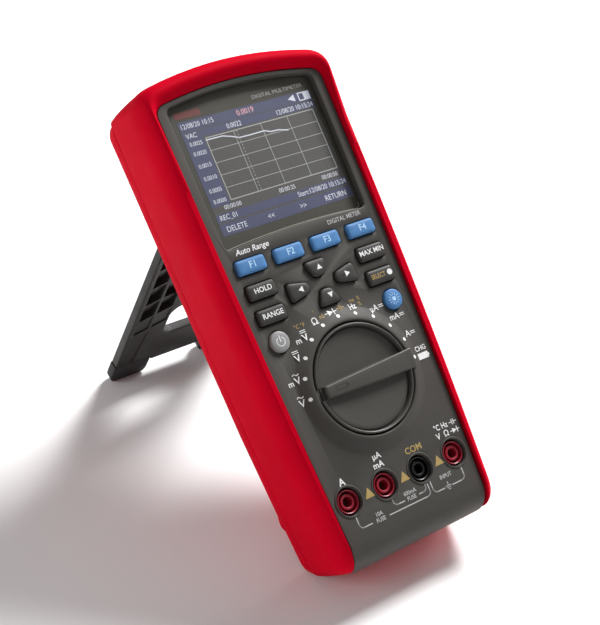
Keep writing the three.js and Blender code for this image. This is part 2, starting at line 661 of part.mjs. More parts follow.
const hingePin = () => bar(STAND.pin, -39, 39, STAND.y, STAND.z, 12);

// ------------------------------------------------------------------ assembly

const part = new THREE.Group();
const leaned = new THREE.Group();
part.add(leaned);

function place(name, geometry, look) {
  const mesh = new THREE.Mesh(geometry, look());
  mesh.name = name;
  leaned.add(mesh);
}

place('side_shell', sideShell(), LOOK.red);
place('front_case', frontCase(), LOOK.panel);
place('rear_case', rearCase(), LOOK.red);
place('case_seal', caseSeal(), LOOK.rubber);
place('display_lens', displayLens(), LOOK.glass);
place('lcd_module', lcdModule(), LOOK.screen);
place('keypad_mat', keypadMat(), LOOK.mat);
KEYS.forEach((key) => place(key.name, keyCap(key), key.look));

place('selector_knob', selectorKnob(), LOOK.panel);
place('knob_shaft', knobShaft(), LOOK.dark);
place('contact_rotor', contactRotor(), LOOK.dark);
place('detent_spring', detentSpring(), LOOK.steel);
place('knob_seal', knobSeal(), LOOK.rubber);

JACKS.forEach((jack) => {
  place(`${jack.name}_jack_shroud`, jackShroud(jack), jack.colour === 'red' ? LOOK.red : LOOK.black);
  place(`${jack.name}_jack_socket`, jackSocket(jack), LOOK.brass);
});

place('main_board', mainBoard(), LOOK.board);
place('input_board', inputBoard(), LOOK.board);
place('board_connector', boardConnector(), LOOK.black);
place('shield_can', shieldCan(), LOOK.steel);
place('buzzer', buzzer(), LOOK.black);
FUSE.xs.forEach((x, i) => place(`fuse_${i + 1}`, fuse(x), LOOK.ceramic));
FUSE.xs.forEach((x, i) => {
  place(`fuse_${i + 1}_lower_clip`, fuseClip(x, FUSE.y - 15), LOOK.brass);
  place(`fuse_${i + 1}_upper_clip`, fuseClip(x, FUSE.y + 15), LOOK.brass);
});
place('battery_pack', batteryPack(), LOOK.battery);
contacts.forEach((contact) => place(`battery_contact_${contact.name}`, batteryContact(contact), LOOK.brass));
place('battery_cover', batteryCover(), LOOK.dark);
coverScrews.forEach(({ side, x, y }) =>
  place(`cover_screw_${side}`, screw(x, y, RECESS_FLOOR + 0.05, -34, 1.7, 1, 0.6), LOOK.steel));
caseScrews.forEach(({ name, side, x, y, headZ }) =>
  place(`case_screw_${name}_${side}`, screw(x, y, headZ - 1.5, -22, SCREW.head, SCREW.radius, 1.5), LOOK.steel));
place('hinge_pin', hingePin(), LOOK.steel);

// The stand and its feet turn together about the hinge, and the feet are cut
// flat where they meet the table.
const openStand = new THREE.Matrix4().makeRotationX(STAND_OPEN).setPosition(0, STAND.y, STAND.z);
place('kickstand', overlap(kickstand().applyMatrix4(openStand), aboveTable()), LOOK.dark);
place('stand_foot_left', overlap(standFoot(-1).applyMatrix4(openStand), aboveTable()), LOOK.rubber);
place('stand_foot_right', overlap(standFoot(1).applyMatrix4(openStand), aboveTable()), LOOK.rubber);

// Lean the meter back, set it on the table and centre its footprint.
leaned.rotation.x = LEAN;
leaned.updateMatrixWorld(true);
const bounds = new THREE.Box3().setFromObject(leaned, true);
leaned.position.set(0, -(bounds.min.y + bounds.max.y) / 2, -TABLE);

export default part;
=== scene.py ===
# %% [markdown]
# # A hand-held multimeter standing on its kickstand
#
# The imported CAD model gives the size, the place and the joints of every part.
# This script gives the meter its finished surface. It runs top to bottom, one
# cell at a time, and each cell makes one piece or one finish.

# %% Load the frame
import json
import math

import bmesh
import bpy
from mathutils import Matrix, Vector


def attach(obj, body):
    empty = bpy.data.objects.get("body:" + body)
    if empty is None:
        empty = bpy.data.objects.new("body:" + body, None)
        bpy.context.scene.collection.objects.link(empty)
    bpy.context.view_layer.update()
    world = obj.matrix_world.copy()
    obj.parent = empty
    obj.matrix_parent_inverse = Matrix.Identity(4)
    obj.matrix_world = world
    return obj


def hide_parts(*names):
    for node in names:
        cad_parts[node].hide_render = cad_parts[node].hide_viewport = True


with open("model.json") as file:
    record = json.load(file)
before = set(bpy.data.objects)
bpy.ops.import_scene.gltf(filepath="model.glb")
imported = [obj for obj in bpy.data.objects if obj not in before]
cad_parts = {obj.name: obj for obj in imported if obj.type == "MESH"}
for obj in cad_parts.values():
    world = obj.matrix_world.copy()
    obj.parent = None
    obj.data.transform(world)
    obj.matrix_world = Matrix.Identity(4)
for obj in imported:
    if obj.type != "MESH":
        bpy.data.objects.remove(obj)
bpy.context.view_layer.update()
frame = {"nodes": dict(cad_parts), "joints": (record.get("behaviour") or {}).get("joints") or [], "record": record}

nodes = frame["nodes"]
joints = {joint["name"]: joint for joint in frame["joints"]}

# %% [markdown]
# ## A drawing frame for a leaning object
#
# The meter leans back, which makes it awkward to draw upright. A drawing frame
# that leans with it solves this: x runs across the face, y runs up its long
# side and z comes out of the panel. The selector's joint gives the centre of
# the knob and the direction of the face, so the frame needs no other numbers.
# Everything is drawn in millimetres and turned into place when it is finished.

# %% The meter's own frame and the stand's own frame
MM = 0.001


def drawing_frame(origin, x_axis, z_axis):
    z = Vector(z_axis).normalized()
    x = Vector(x_axis).normalized()
    turn = Matrix((x, z.cross(x), z)).transposed().to_4x4()
    return Matrix.Translation(origin) @ turn @ Matrix.Scale(MM, 4)


METER = drawing_frame(joints["selector_turn"]["pos_m"], (1, 0, 0), joints["selector_turn"]["axis"])
STAND_OPEN = -math.radians(joints["stand_fold"]["range_deg"][0])
HINGE = METER.inverted() @ Vector(joints["stand_fold"]["pos_m"])
STAND = METER @ Matrix.Translation(HINGE) @ Matrix.Rotation(STAND_OPEN, 4, "X")
print("hinge at", tuple(round(v, 2) for v in HINGE), "open by", round(math.degrees(STAND_OPEN), 1))

# %% [markdown]
# ## Sums in a material
#
# A material is a web of small nodes, and a sum of three numbers already takes
# two of them. A small class hides that: it wraps a socket, and plus, minus and
# times on it add the Math nodes.

# %% A socket that takes part in sums
class Wire:
    def __init__(self, finish, socket):
        self.finish = finish
        self.socket = socket

    def math(self, operation, first, second):
        return self.finish.node("ShaderNodeMath", {"operation": operation}, first, second)

    def __add__(self, other):
        return self.math("ADD", self, other)

    def __sub__(self, other):
        return self.math("SUBTRACT", self, other)

    def __rsub__(self, other):
        return self.math("SUBTRACT", other, self)

    def __mul__(self, other):
        return self.math("MULTIPLY", self, other)

    __radd__ = __add__
    __rmul__ = __mul__


# %% A finish: one material with its nodes
class Finish:
    def __init__(self, name, **constants):
        self.material = bpy.data.materials.new(name)
        self.material.use_nodes = True
        self.tree = self.material.node_tree
        self.shader = self.tree.nodes["Principled BSDF"]
        for socket, value in constants.items():
            self.shader.inputs[socket.replace("_", " ")].default_value = value
        self.coordinates = self.node("ShaderNodeTexCoord", {}, out="Object")

    def node(self, kind, settings, *values, out=0, **named):
        node = self.tree.nodes.new(kind)
        for setting, value in settings.items():
            setattr(node, setting, value)
        for socket, value in list(enumerate(values)) + list(named.items()):
            self.feed(node.inputs[socket if isinstance(socket, int) else socket.replace("_", " ")], value)
        return Wire(self, node.outputs[out])

    def feed(self, socket, value):
        if isinstance(value, Wire):
            self.tree.links.new(value.socket, socket)
        else:
            socket.default_value = value

    def surface(self, **named):
        for socket, value in named.items():
            self.feed(self.shader.inputs[socket.replace("_", " ")], value)

    def noise(self, size, detail=2.0, roughness=0.5):
        return self.node("ShaderNodeTexNoise", {}, Vector=self.coordinates, Scale=1 / (size * MM),
                         Detail=detail, Roughness=roughness)

    def cells(self, size, feature="F1"):
        return self.node("ShaderNodeTexVoronoi", {"feature": feature}, Vector=self.coordinates,
                         Scale=1 / (size * MM), out="Distance")

    def ramp(self, value, low, high):
        return self.node("ShaderNodeMapRange", {}, value, low, high, 0.0, 1.0)

    def blend(self, factor, first, second):
        node = self.tree.nodes.new("ShaderNodeMix")
        node.data_type = "RGBA"
        for index, value in ((0, factor), (6, first), (7, second)):
            self.feed(node.inputs[index], value)
        return Wire(self, node.outputs[2])

    def bump(self, height, depth):
        return self.node("ShaderNodeBump", {}, Strength=1.0, Distance=depth * MM, Height=height, out="Normal")


def shade(colour, factor):
    return (*[min(1.0, channel * factor) for channel in colour[:3]], 1.0)


# %% [markdown]
# ## Moulded plastic and rubber
#
# A moulded surface is never one flat colour. The tool leaves a fine grain in
# it, hands polish the high places, and the dye is a little cloudy. Three
# noises of different sizes give those three effects, and one function with a
# few settings serves the soft red shell, the dark panel and the keys.

# %% Moulded finishes
CLOUD = 0.05


def moulded(name, colour, roughness, grain=0.55, depth=0.02, **constants):
    finish = Finish(name, **constants)
    clouds = finish.noise(24, 3)
    smudges = finish.noise(7, 4, 0.6)
    texture = finish.noise(grain, 2)
    pits = finish.ramp(finish.cells(grain * 2.2), 0.0, 0.6)
    base = finish.blend(finish.ramp(clouds, 0.3, 0.7), shade(colour, 1 - CLOUD), shade(colour, 1 + CLOUD))
    fine = finish.blend(finish.ramp(texture, 0.35, 0.65) * 0.25, base, shade(colour, 0.86))
    finish.surface(
        Base_Color=fine,
        Roughness=roughness - 0.06 + finish.ramp(smudges, 0.3, 0.7) * 0.1 + texture * 0.04,
        Normal=finish.bump(texture * 0.7 + pits * 0.3, depth),
    )
    return finish.material


RED_SHELL = moulded("soft_red_shell", (0.580, 0.0002, 0.0150), 0.60, grain=0.6, depth=0.02,
                    Specular_IOR_Level=0.02)
PANEL_GREY = moulded("panel_plastic", (0.072, 0.067, 0.060), 0.55, grain=0.5, depth=0.022,
                     Specular_IOR_Level=0.22)
KNOB_GREY = moulded("knob_plastic", (0.074, 0.069, 0.062), 0.42, grain=0.45, depth=0.014,
                    Specular_IOR_Level=0.35)
STAND_BLACK = moulded("stand_plastic", (0.0155, 0.0142, 0.0130), 0.52, grain=0.6, depth=0.02,
                      Specular_IOR_Level=0.3)
DARK_PLASTIC = moulded("dark_plastic", (0.030, 0.029, 0.028), 0.5, grain=0.6)
BLACK_RUBBER = moulded("black_key_rubber", (0.030, 0.028, 0.026), 0.55, grain=0.35, depth=0.012)
FOOT_RUBBER = moulded("foot_rubber", (0.016, 0.016, 0.016), 0.72, grain=0.7, depth=0.03)
BLUE_RUBBER = moulded("blue_key_rubber", (0.080, 0.230, 0.500), 0.5, grain=0.35, depth=0.012,
                      Specular_IOR_Level=0.3)
GREY_RUBBER = moulded("grey_key_rubber", (0.300, 0.300, 0.300), 0.5, grain=0.35, depth=0.012)
SILICONE = moulded("silicone_mat", (0.22, 0.23, 0.24), 0.6, grain=0.5)
RED_JACK = moulded("red_socket_plastic", (0.330, 0.010, 0.028), 0.36, grain=0.4, depth=0.006)
BLACK_JACK = moulded("black_socket_plastic", (0.006, 0.006, 0.006), 0.36, grain=0.4, depth=0.006)
SEAL_RUBBER = moulded("seal_rubber", (0.02, 0.02, 0.02), 0.7)
BATTERY_WRAP = moulded("battery_wrap", (0.035, 0.11, 0.30), 0.35, grain=1.2, depth=0.01)

# %% [markdown]
# ## Print, metal, board and glass
#
# Printed ink is thin and slightly uneven. Metal parts have fine turning or
# rolling lines. The circuit boards are green resist with lighter tracks, and
# the window over the screen is clear plastic that mostly shows as gloss.

# %% Ink
# An ink's glow is painted light: it makes the print brighter than the lamps alone would.
def ink(name, colour, glow=0.0):
    finish = Finish(name, Emission_Strength=glow)
    patches = finish.noise(1.5, 3)
    tone = finish.blend(finish.ramp(patches, 0.3, 0.7), shade(colour, 0.9), shade(colour, 1.05))
    finish.surface(Base_Color=tone, Emission_Color=tone, Roughness=0.5 + patches * 0.15)
    return finish.material


# White, gold and pale blue ink glow faintly, which is painted light on top of the print's own colour.
WHITE_INK = ink("white_ink", (0.80, 0.80, 0.80), 0.12)
SOFT_WHITE_INK = ink("soft_white_ink", (0.50, 0.50, 0.50))
GOLD_INK = ink("gold_ink", (0.43, 0.30, 0.105), 0.05)
DARK_INK = ink("dark_ink", (0.02, 0.02, 0.02))
PALE_BLUE_INK = ink("pale_blue_ink", (0.42, 0.66, 0.92), 0.05)


# %% Metal
def metal(name, colour, roughness):
    finish = Finish(name, Metallic=1.0)
    lines = finish.noise(0.3, 4)
    stain = finish.noise(5, 3)
    finish.surface(
        Base_Color=finish.blend(finish.ramp(stain, 0.35, 0.7), shade(colour, 1.0), shade(colour, 0.82)),
        Roughness=roughness + finish.ramp(lines, 0.3, 0.7) * 0.15,
        Normal=finish.bump(lines, 0.006),
    )
    return finish.material


STEEL = metal("steel", (0.62, 0.62, 0.63), 0.26)
BRASS = metal("brass", (0.72, 0.51, 0.24), 0.24)


# %% Circuit board
def circuit_board():
    finish = Finish("circuit_board", Coat_Weight=0.4, Coat_Roughness=0.15)
    tracks = finish.ramp(finish.cells(3.5, "DISTANCE_TO_EDGE"), 0.04, 0.06)
    green = finish.blend(finish.noise(12, 3), (0.010, 0.10, 0.035, 1), (0.018, 0.15, 0.05, 1))
    finish.surface(
        Base_Color=finish.blend(tracks, (0.03, 0.24, 0.085, 1), green),
        Roughness=0.35 + finish.noise(2, 2) * 0.1,
        Normal=finish.bump(tracks, 0.03),
    )
    return finish.material


BOARD_GREEN = circuit_board()


# %% Ceramic tube and window
def fuse_ceramic():
    finish = Finish("fuse_ceramic", Coat_Weight=0.3)
    grain = finish.noise(0.8, 3)
    finish.surface(Base_Color=finish.blend(grain, (0.78, 0.75, 0.66, 1), (0.86, 0.84, 0.77, 1)),
                   Roughness=0.3 + grain * 0.12)
    return finish.material


def window_plastic():
    finish = Finish("window_plastic", IOR=1.49)
    smudges = finish.noise(9, 4, 0.6)
    finish.surface(Base_Color=(0.60, 0.60, 0.55, 1), Alpha=0.055 + finish.ramp(smudges, 0.45, 0.75) * 0.02,
                   Roughness=0.09 + finish.ramp(smudges, 0.4, 0.8) * 0.08)
    return finish.material


CERAMIC = fuse_ceramic()
WINDOW_PLASTIC = window_plastic()


# %% The picture on the screen
def screen_colour(name, colour, glow):
    finish = Finish(name, Emission_Strength=glow)
    rows = finish.noise(0.45, 1)
    wash = finish.noise(30, 2)
    tone = finish.blend(rows, shade(colour, 0.94), shade(colour, 1.06))
    tone = finish.blend(finish.ramp(wash, 0.3, 0.7) * 0.25, tone, shade(colour, 0.85))
    finish.surface(Base_Color=tone, Emission_Color=tone, Roughness=0.35 + rows * 0.1)
    return finish.material


SCREEN_GREY = screen_colour("screen_grey", (0.066, 0.063, 0.062), 0.05)
SCREEN_BAND = screen_colour("screen_band", (0.056, 0.063, 0.140), 0.05)
SCREEN_LINE = screen_colour("screen_line", (0.40, 0.41, 0.40), 0.1)
SCREEN_TEXT = screen_colour("screen_text", (0.62, 0.64, 0.72), 0.25)
SCREEN_RED = screen_colour("screen_red", (0.75, 0.42, 0.46), 0.2)
BADGE_RED = screen_colour("badge_red", (0.17, 0.028, 0.026), 0.0)
# The window lip colour is a painted highlight: a pale, faintly glowing line for the light caught on the window's
# lower edge.
PAINTED_LIP_HIGHLIGHT = screen_colour("painted_window_lip_highlight", (0.30, 0.29, 0.24), 0.1)
WINDOW_BORDER = screen_colour("window_border", (0.040, 0.035, 0.022), 0.0)

# %% [markdown]
# ## From a bmesh to a finished piece
#
# Every piece goes through the same last steps: its doubles are merged, its
# faces are turned outwards, it gets smooth shading with sharp creases kept,
# and it is moved from the drawing frame into the room. The object itself stays
# at the origin, so patterns sit still on it and the export finds it there.

# %% Finish a piece
def tidy(bm):
    bmesh.ops.remove_doubles(bm, verts=bm.verts, dist=0.001)
    bmesh.ops.recalc_face_normals(bm, faces=bm.faces)
    return bm


def workpiece(name, bm):
    mesh = bpy.data.meshes.new(name)
    bm.to_mesh(mesh)
    bm.free()
    thing = bpy.data.objects.new(name, mesh)
    bpy.context.scene.collection.objects.link(thing)
    return thing


def settle(thing):
    graph = bpy.context.evaluated_depsgraph_get()
    mesh = bpy.data.meshes.new_from_object(thing.evaluated_get(graph), depsgraph=graph)
    old = thing.data
    thing.modifiers.clear()
    thing.data = mesh
    bpy.data.meshes.remove(old)
    return thing


def carve(thing, cutters, operation="DIFFERENCE"):
    for cutter in cutters:
        step = thing.modifiers.new("carve", "BOOLEAN")
        step.operation = operation
        step.solver = "EXACT"
        step.object = cutter
    settle(thing)
    for cutter in cutters:
        bpy.data.objects.remove(cutter)
    return thing


def soften(thing, width, segments=3, angle=35):
    step = thing.modifiers.new("soften", "BEVEL")
    step.width = width
    step.segments = segments
    step.limit_method = "ANGLE"
    step.angle_limit = math.radians(angle)
    return settle(thing)


def place(thing, body, slot, material, stands_for=(), at=METER, crease=38):
    thing.data.transform(at)
    thing.data.shade_smooth()
    thing.data.set_sharp_from_angle(angle=math.radians(crease))
    thing.data.materials.clear()
    thing.data.materials.append(material)
    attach(thing, body)
    if stands_for:
        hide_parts(*stands_for)
    return thing


# %% [markdown]
# ## Outlines
#
# The case, the panel and the window share one kind of outline: bowed sides,
# arched ends and rounded corners. One function draws all three, so their
# points match one to one, which makes it easy to stretch a skin from one
# outline to the next.

# %% Outline of case, panel and window
CASE = dict(half_top=49, half_middle=48, half_bottom=42.2, bow=20,
            top=149.3, top_curve=0.0028, top_radius=9,
            bottom=-72.2, bottom_curve=0.0006, bottom_radius=9)
PANEL = dict(half_top=42.2, half_middle=41.1, half_bottom=35.6, bow=20,
             top=138.5, top_curve=0.0026, top_radius=5,
             bottom=-71.3, bottom_curve=0.0017, bottom_radius=1.5)
WINDOW = dict(half_top=37.4, half_middle=37.4, half_bottom=36.6, bow=100,
              top=136.2, top_curve=0.0026, top_radius=3.2,
              bottom=70.3, bottom_curve=-0.0013, bottom_radius=3.2)
SMALLEST_RADIUS = 1.2


def arc(start, control, end, steps):
    return [start.lerp(control, i / steps).lerp(control.lerp(end, i / steps), i / steps)
            for i in range(steps)]


def outline(plan, inset=0.0, steps=10):
    top_radius = max(plan["top_radius"] - inset, SMALLEST_RADIUS)
    bottom_radius = max(plan["bottom_radius"] - inset, SMALLEST_RADIUS)
    wide = plan["half_top"] - inset
    narrow = plan["half_bottom"] - inset
    top_x, bottom_x = wide - top_radius, narrow - bottom_radius
    top_y = plan["top"] - inset - plan["top_curve"] * top_x ** 2
    bottom_y = plan["bottom"] + inset + plan["bottom_curve"] * bottom_x ** 2
    top_corner = top_y - 2 * plan["top_curve"] * top_x * top_radius
    bottom_corner = bottom_y + 2 * plan["bottom_curve"] * bottom_x * bottom_radius
    side_foot = Vector((narrow, bottom_corner + bottom_radius))
    side_head = Vector((wide, top_corner - top_radius))
    right = [
        (Vector((bottom_x, bottom_y)), Vector((narrow, bottom_corner)), side_foot),
        (side_foot, Vector((plan["half_middle"] - inset, plan["bow"])), side_head),
        (side_head, Vector((wide, top_corner)), Vector((top_x, top_y))),
    ]
    top = (Vector((top_x, top_y)), Vector((0, 2 * (plan["top"] - inset) - top_y)), Vector((-top_x, top_y)))
    bottom = (Vector((-bottom_x, bottom_y)), Vector((0, 2 * (plan["bottom"] + inset) - bottom_y)),
              Vector((bottom_x, bottom_y)))
    left = [tuple(Vector((-point.x, point.y)) for point in reversed(curve)) for curve in reversed(right)]
    return [point for curve in (*right, top, *left, bottom) for point in arc(*curve, steps)]


# %% Skins, plates and turned shapes
def skin(sections):
    bm = bmesh.new()
    loops = []
    for points in sections:
        ring = [bm.verts.new(point) for point in points]
        loops.append([bm.edges.new((a, b)) for a, b in zip(ring, ring[1:] + ring[:1])])
    for lower, upper in zip(loops, loops[1:]):
        bmesh.ops.bridge_loops(bm, edges=lower + upper)
    for loop in (loops[0], loops[-1]):
        bmesh.ops.edgeloop_fill(bm, edges=loop)
    return tidy(bm)


def prism(points, along):
    bm = bmesh.new()
    face = bm.faces.new([bm.verts.new(point) for point in points])
    grown = bmesh.ops.extrude_face_region(bm, geom=[face])["geom"]
    far_side = [v for v in grown if isinstance(v, bmesh.types.BMVert)]
    bmesh.ops.translate(bm, verts=far_side, vec=along)
    return tidy(bm)


def plate(points, low, high):
    return prism([(x, y, low) for x, y in points], (0, 0, high - low))


def turned(profile, steps=96, x=0.0, y=0.0):
    bm = bmesh.new()
    ring = [bm.verts.new((r, 0, z)) for r, z in profile]
    edges = [bm.edges.new(pair) for pair in zip(ring, ring[1:])]
    bmesh.ops.spin(bm, geom=ring + edges, cent=(0, 0, 0), axis=(0, 0, 1), dvec=(0, 0, 0),
                   angle=2 * math.pi, steps=steps, use_merge=True, use_duplicate=False)
    bmesh.ops.translate(bm, verts=bm.verts, vec=(x, y, 0))
    return tidy(bm)


def block(x0, x1, y0, y1, z0, z1):
    bm = bmesh.new()
    bmesh.ops.create_cube(bm, size=1)
    bmesh.ops.scale(bm, vec=(x1 - x0, y1 - y0, z1 - z0), verts=bm.verts)
    bmesh.ops.translate(bm, vec=((x0 + x1) / 2, (y0 + y1) / 2, (z0 + z1) / 2), verts=bm.verts)
    return bm


def rounded(points, radius, steps=6):
    corners = [Vector(point) for point in points]
    path = []
    for i, corner in enumerate(corners):
        before, after = corners[i - 1], corners[(i + 1) % len(corners)]
        start = corner + (before - corner).normalized() * radius
        end = corner + (after - corner).normalized() * radius
        path += arc(start, corner, end, steps) + [end]
    return path


def rounded_box(x, y, width, height, radius):
    w, h = width / 2, height / 2
    return rounded([(x - w, y - h), (x + w, y - h), (x + w, y + h), (x - w, y + h)], radius)


def round_points(x, y, radius, steps=48):
    return [Vector((x + radius * math.cos(a), y + radius * math.sin(a)))
            for a in (2 * math.pi * i / steps for i in range(steps))]


# %% [markdown]
# ## The soft red shell
#
# The shell is a thick rubber jacket moulded round the sides. Its rim stands a
# little proud of the panel, more so over the screen, where its inner slope
# turns away from the light. A skin is stretched through outlines that shrink
# from the case to the panel while their height follows a smooth curve. The
# mouth at the lower end, where the dark case rolls over, is then carved out.

# %% Side shell
SPLIT = -34
RIM = [(0, -9), (0, -7.4), (0.015, -6), (0.05, -4.4), (0.12, -2.7), (0.22, -1.25), (0.35, 0.1),
       (0.5, 1.15), (0.65, 1.85), (0.79, 2.2), (0.89, 2.1), (0.955, 1.6), (0.99, 0.8), (1, 0)]
BROW = [(0, -9), (0, -7.2), (0.012, -5.6), (0.04, -3.6), (0.09, -1.5), (0.16, 0.3), (0.25, 1.75),
        (0.36, 2.8), (0.47, 3.4), (0.57, 3.5), (0.68, 3.15), (0.8, 2.2), (0.91, 1.1), (1, 0)]
MOUTH_RIM = dict(PANEL, bottom=-62, bottom_radius=9)


def smoothstep(value, low, high):
    t = min(1.0, max(0.0, (value - low) / (high - low)))
    return t * t * (3 - 2 * t)


def rim_sections():
    outer = outline(CASE)
    inner = outline(MOUTH_RIM, -0.3)
    sections = []
    for (t_side, z_side), (t_brow, z_brow) in zip(RIM, BROW):
        ring = []
        for far, near in zip(outer, inner):
            brow = smoothstep(far.y, 112, 140)
            t = t_side + (t_brow - t_side) * brow
            ring.append((*far.lerp(near, t), z_side + (z_brow - z_side) * brow))
        sections.append(ring)
    return sections


def flat_section(plan, inset, z):
    return [(point.x, point.y, z) for point in outline(plan, inset)]


def level(sides, top_end, bottom_end, z, corner):
    """Case outline at one depth: margins for its sides and ends, a radius for its upper corners."""
    plan = dict(CASE, top=CASE["top"] + sides - top_end, bottom=CASE["bottom"] - sides + bottom_end,
                top_radius=corner)
    return flat_section(plan, sides, z)


ROLL_START, ROLL_DEPTH, ROLL_STEPS = -61.0, 13.0, 16


def roll_wall(proud, crease=0.0, reach=10.4):
    """Everything behind the curve that rolls over the lower end, as a solid across x."""
    curve = []
    for i in range(ROLL_STEPS + 1):
        a = math.pi / 2 * i / ROLL_STEPS
        height = ROLL_DEPTH + proud - crease * min(1, a * 5)
        curve.append((ROLL_START - (reach + proud) * math.sin(a), -ROLL_DEPTH + height * math.cos(a)))
    over_screen = [(190, proud + 9), (112, proud + 9), (96, proud)]
    behind = [(ROLL_START - reach - proud, -60), (190, -60)]
    return workpiece("roll", prism([(-70, y, z) for y, z in over_screen + curve + behind], (140, 0, 0)))


def side_shell():
    body = [level(3.2, 0.6, 1.5, SPLIT, 5.6), level(2.7, 0.2, 1.1, SPLIT + 0.35, 5.1),
            level(1.75, 0, 0.45, -27, 4.8), level(0.95, 0, 0.1, -20, 5.4), level(0.35, 0, 0, -13, 7.0)]
    inside = [flat_section(MOUTH_RIM, -0.3, -4.2)]
    shell = workpiece("side_shell_skin", skin(body + rim_sections() + inside))
    carve(shell, [roll_wall(1.6)], "INTERSECT")
    mouth = dict(PANEL, bottom=-95)
    opening = workpiece("mouth", plate(outline(mouth, -0.3), -13.3, 9))
    hollow = workpiece("hollow", plate(outline(CASE, 3.8), SPLIT - 1, -4.0))
    carve(shell, [opening, hollow])
    return place(soften(shell, 0.35, 2, 50), "meter", "red_shell", RED_SHELL, ["side_shell"], crease=32)


shell = side_shell()
shell.name = "soft_side_shell"
print("side shell faces", len(shell.data.polygons))


# %% Low pads on the rear edge, near the lower end
def side_pads():
    shape = [(35.5, -36.5), (38.0, -36.5), (39.2, -42.5), (39.2, -45.3), (37.8, -48.5), (35.5, -48.5)]
    for side, word in ((-1, "left"), (1, "right")):
        loop = [(side * x, y) for x, y in shape][::-side]
        pad = workpiece(f"{word}_rear_pad", plate(rounded(loop, 0.8), -43.9, -37))
        place(soften(pad, 0.5, 3, 50), "meter", "red_shell", RED_SHELL)


side_pads()

# %% [markdown]
# ## The front case
#
# The panel is one dark moulding: a face with a window, a low cone that the
# knob sits in, holes for the keys and wells for the sockets, rolling over at
# its lower end. Cutters whose shape already holds the rounded lip are taken
# out of a plain solid, which keeps every lip even.

# %% Keys as data: centre, outline and look
def bar_key(width, height, radius):
    return lambda x, y, grow=0.0: rounded_box(x, y, width + 2 * grow, height + 2 * grow, radius + grow / 2)


def round_key(radius):
    return lambda x, y, grow=0.0: round_points(x, y, radius + grow)


def petal_key(width, depth, turn):
    def shape(x, y, grow=0.0):
        w, d = width / 2 + grow, depth / 2 + grow
        corners = [(-w, d), (w, d), (w * 0.5, -d), (-w * 0.5, -d)]
        spin = Matrix.Rotation(turn, 2)
        return [point + Vector((x, y)) for point in rounded([spin @ Vector(c) for c in corners], 2.2)]
    return shape


FUNCTION_KEY = bar_key(14.3, 6.3, 1.5)
BLACK_KEY = bar_key(13.8, 6.5, 1.5)
FUNCTION_X = {1: -28.8, 2: -9.6, 3: 9.6, 4: 28.8}
KEYS = {
    **{f"function_key_{i}": (x, 60.1, FUNCTION_KEY, BLUE_RUBBER) for i, x in FUNCTION_X.items()},
    "hold_key": (-28.75, 48.9, BLACK_KEY, BLACK_RUBBER),
    "range_key": (-28.75, 37.9, BLACK_KEY, BLACK_RUBBER),
    "max_min_key": (28.75, 48.9, BLACK_KEY, BLACK_RUBBER),
    "select_key": (28.75, 37.9, BLACK_KEY, BLACK_RUBBER),
    "power_key": (-30.1, 26.5, round_key(4.5), GREY_RUBBER),
    "lamp_key": (30.1, 26.5, round_key(4.5), BLUE_RUBBER),
    "up_key": (0, 50.1, petal_key(11, 7.2, 0), BLACK_RUBBER),
    "down_key": (0, 37.25, petal_key(11, 7.2, math.pi), BLACK_RUBBER),
    "left_key": (-12.2, 43.6, petal_key(8.8, 10.6, math.pi / 2), BLACK_RUBBER),
    "right_key": (12.2, 43.6, petal_key(8.8, 10.6, -math.pi / 2), BLACK_RUBBER),
}
JACKS = {"amp": -28.5, "milliamp": -9.5, "common": 9.5, "volt": 28.5}
JACK_Y = -44
KNOB_WELL_RADIUS = 24.5
MOUND = [(0, -1.5), (32.6, -1.5), (31.8, -0.2), (31.1, 0.08), (30.2, 0.5), (29.0, 1.16), (27.8, 1.84),
         (26.7, 2.4), (25.9, 2.66), (25.3, 2.78), (24.9, 2.8), (0, 2.8)]
KNOB_WELL = [(0, -1.2), (KNOB_WELL_RADIUS, -1.2), (KNOB_WELL_RADIUS, 2.2), (24.6, 2.48), (24.8, 2.68),
             (25.1, 2.82), (25.1, 4), (0, 4)]
WELL = [(0, 1.0), (6.3, 1.0), (6.3, 0.0), (6.1, -0.04), (5.95, -0.2), (5.85, -0.5), (5.85, -18), (0, -18)]


# %% Front case
def window_cutter():
    lips = [(-0.55, 0.8), (-0.55, 0.0), (-0.40, -0.04), (-0.16, -0.18), (-0.03, -0.42), (0.0, -0.8),
            (0.0, -3.6)]
    return workpiece("window", skin([flat_section(WINDOW, inset, z) for inset, z in lips]))


def key_cutter(x, y, shape):
    lips = [(0.8, 0.8), (0.8, 0.0), (0.55, -0.1), (0.42, -0.35), (0.35, -0.6), (0.35, -3.6)]
    return workpiece("key_hole", skin([[(*point, z) for point in shape(x, y, grow)] for grow, z in lips]))


def front_case():
    edge = [(0.0, -13.0), (0.0, -0.45), (0.1, -0.15), (0.35, 0.0)]
    plan = dict(PANEL, bottom=CASE["bottom"] - 0.2, bottom_curve=CASE["bottom_curve"])
    face = workpiece("front_case_skin", skin([flat_section(plan, inset, z) for inset, z in edge]))
    carve(face, [roll_wall(0.0, crease=0.22, reach=11.2)], "INTERSECT")
    inside = workpiece("inside", plate(outline(dict(PANEL, bottom=-63), 1.0), -14, -3))
    added = [workpiece("well", turned([(0, -2), (6.7, -2), (6.7, -17), (0, -17)], 48, x, JACK_Y))
             for x in JACKS.values()]
    added.append(workpiece("mound", turned(MOUND, 128)))
    carve(face, [inside])
    carve(face, added, "UNION")
    cutters = [window_cutter(), workpiece("knob_well", turned(KNOB_WELL, 128)),
               workpiece("shaft_hole", turned([(0, 1), (3.8, 1), (3.8, -4), (0, -4)], 32))]
    cutters += [workpiece("well_hole", turned(WELL, 64, x, JACK_Y)) for x in JACKS.values()]
    cutters += [key_cutter(x, y, shape) for x, y, shape, _ in KEYS.values()]
    carve(face, cutters)
    return place(face, "meter", "panel", PANEL_GREY, crease=30)


panel = front_case()
panel.name = "front_panel"
print("front case faces", len(panel.data.polygons))


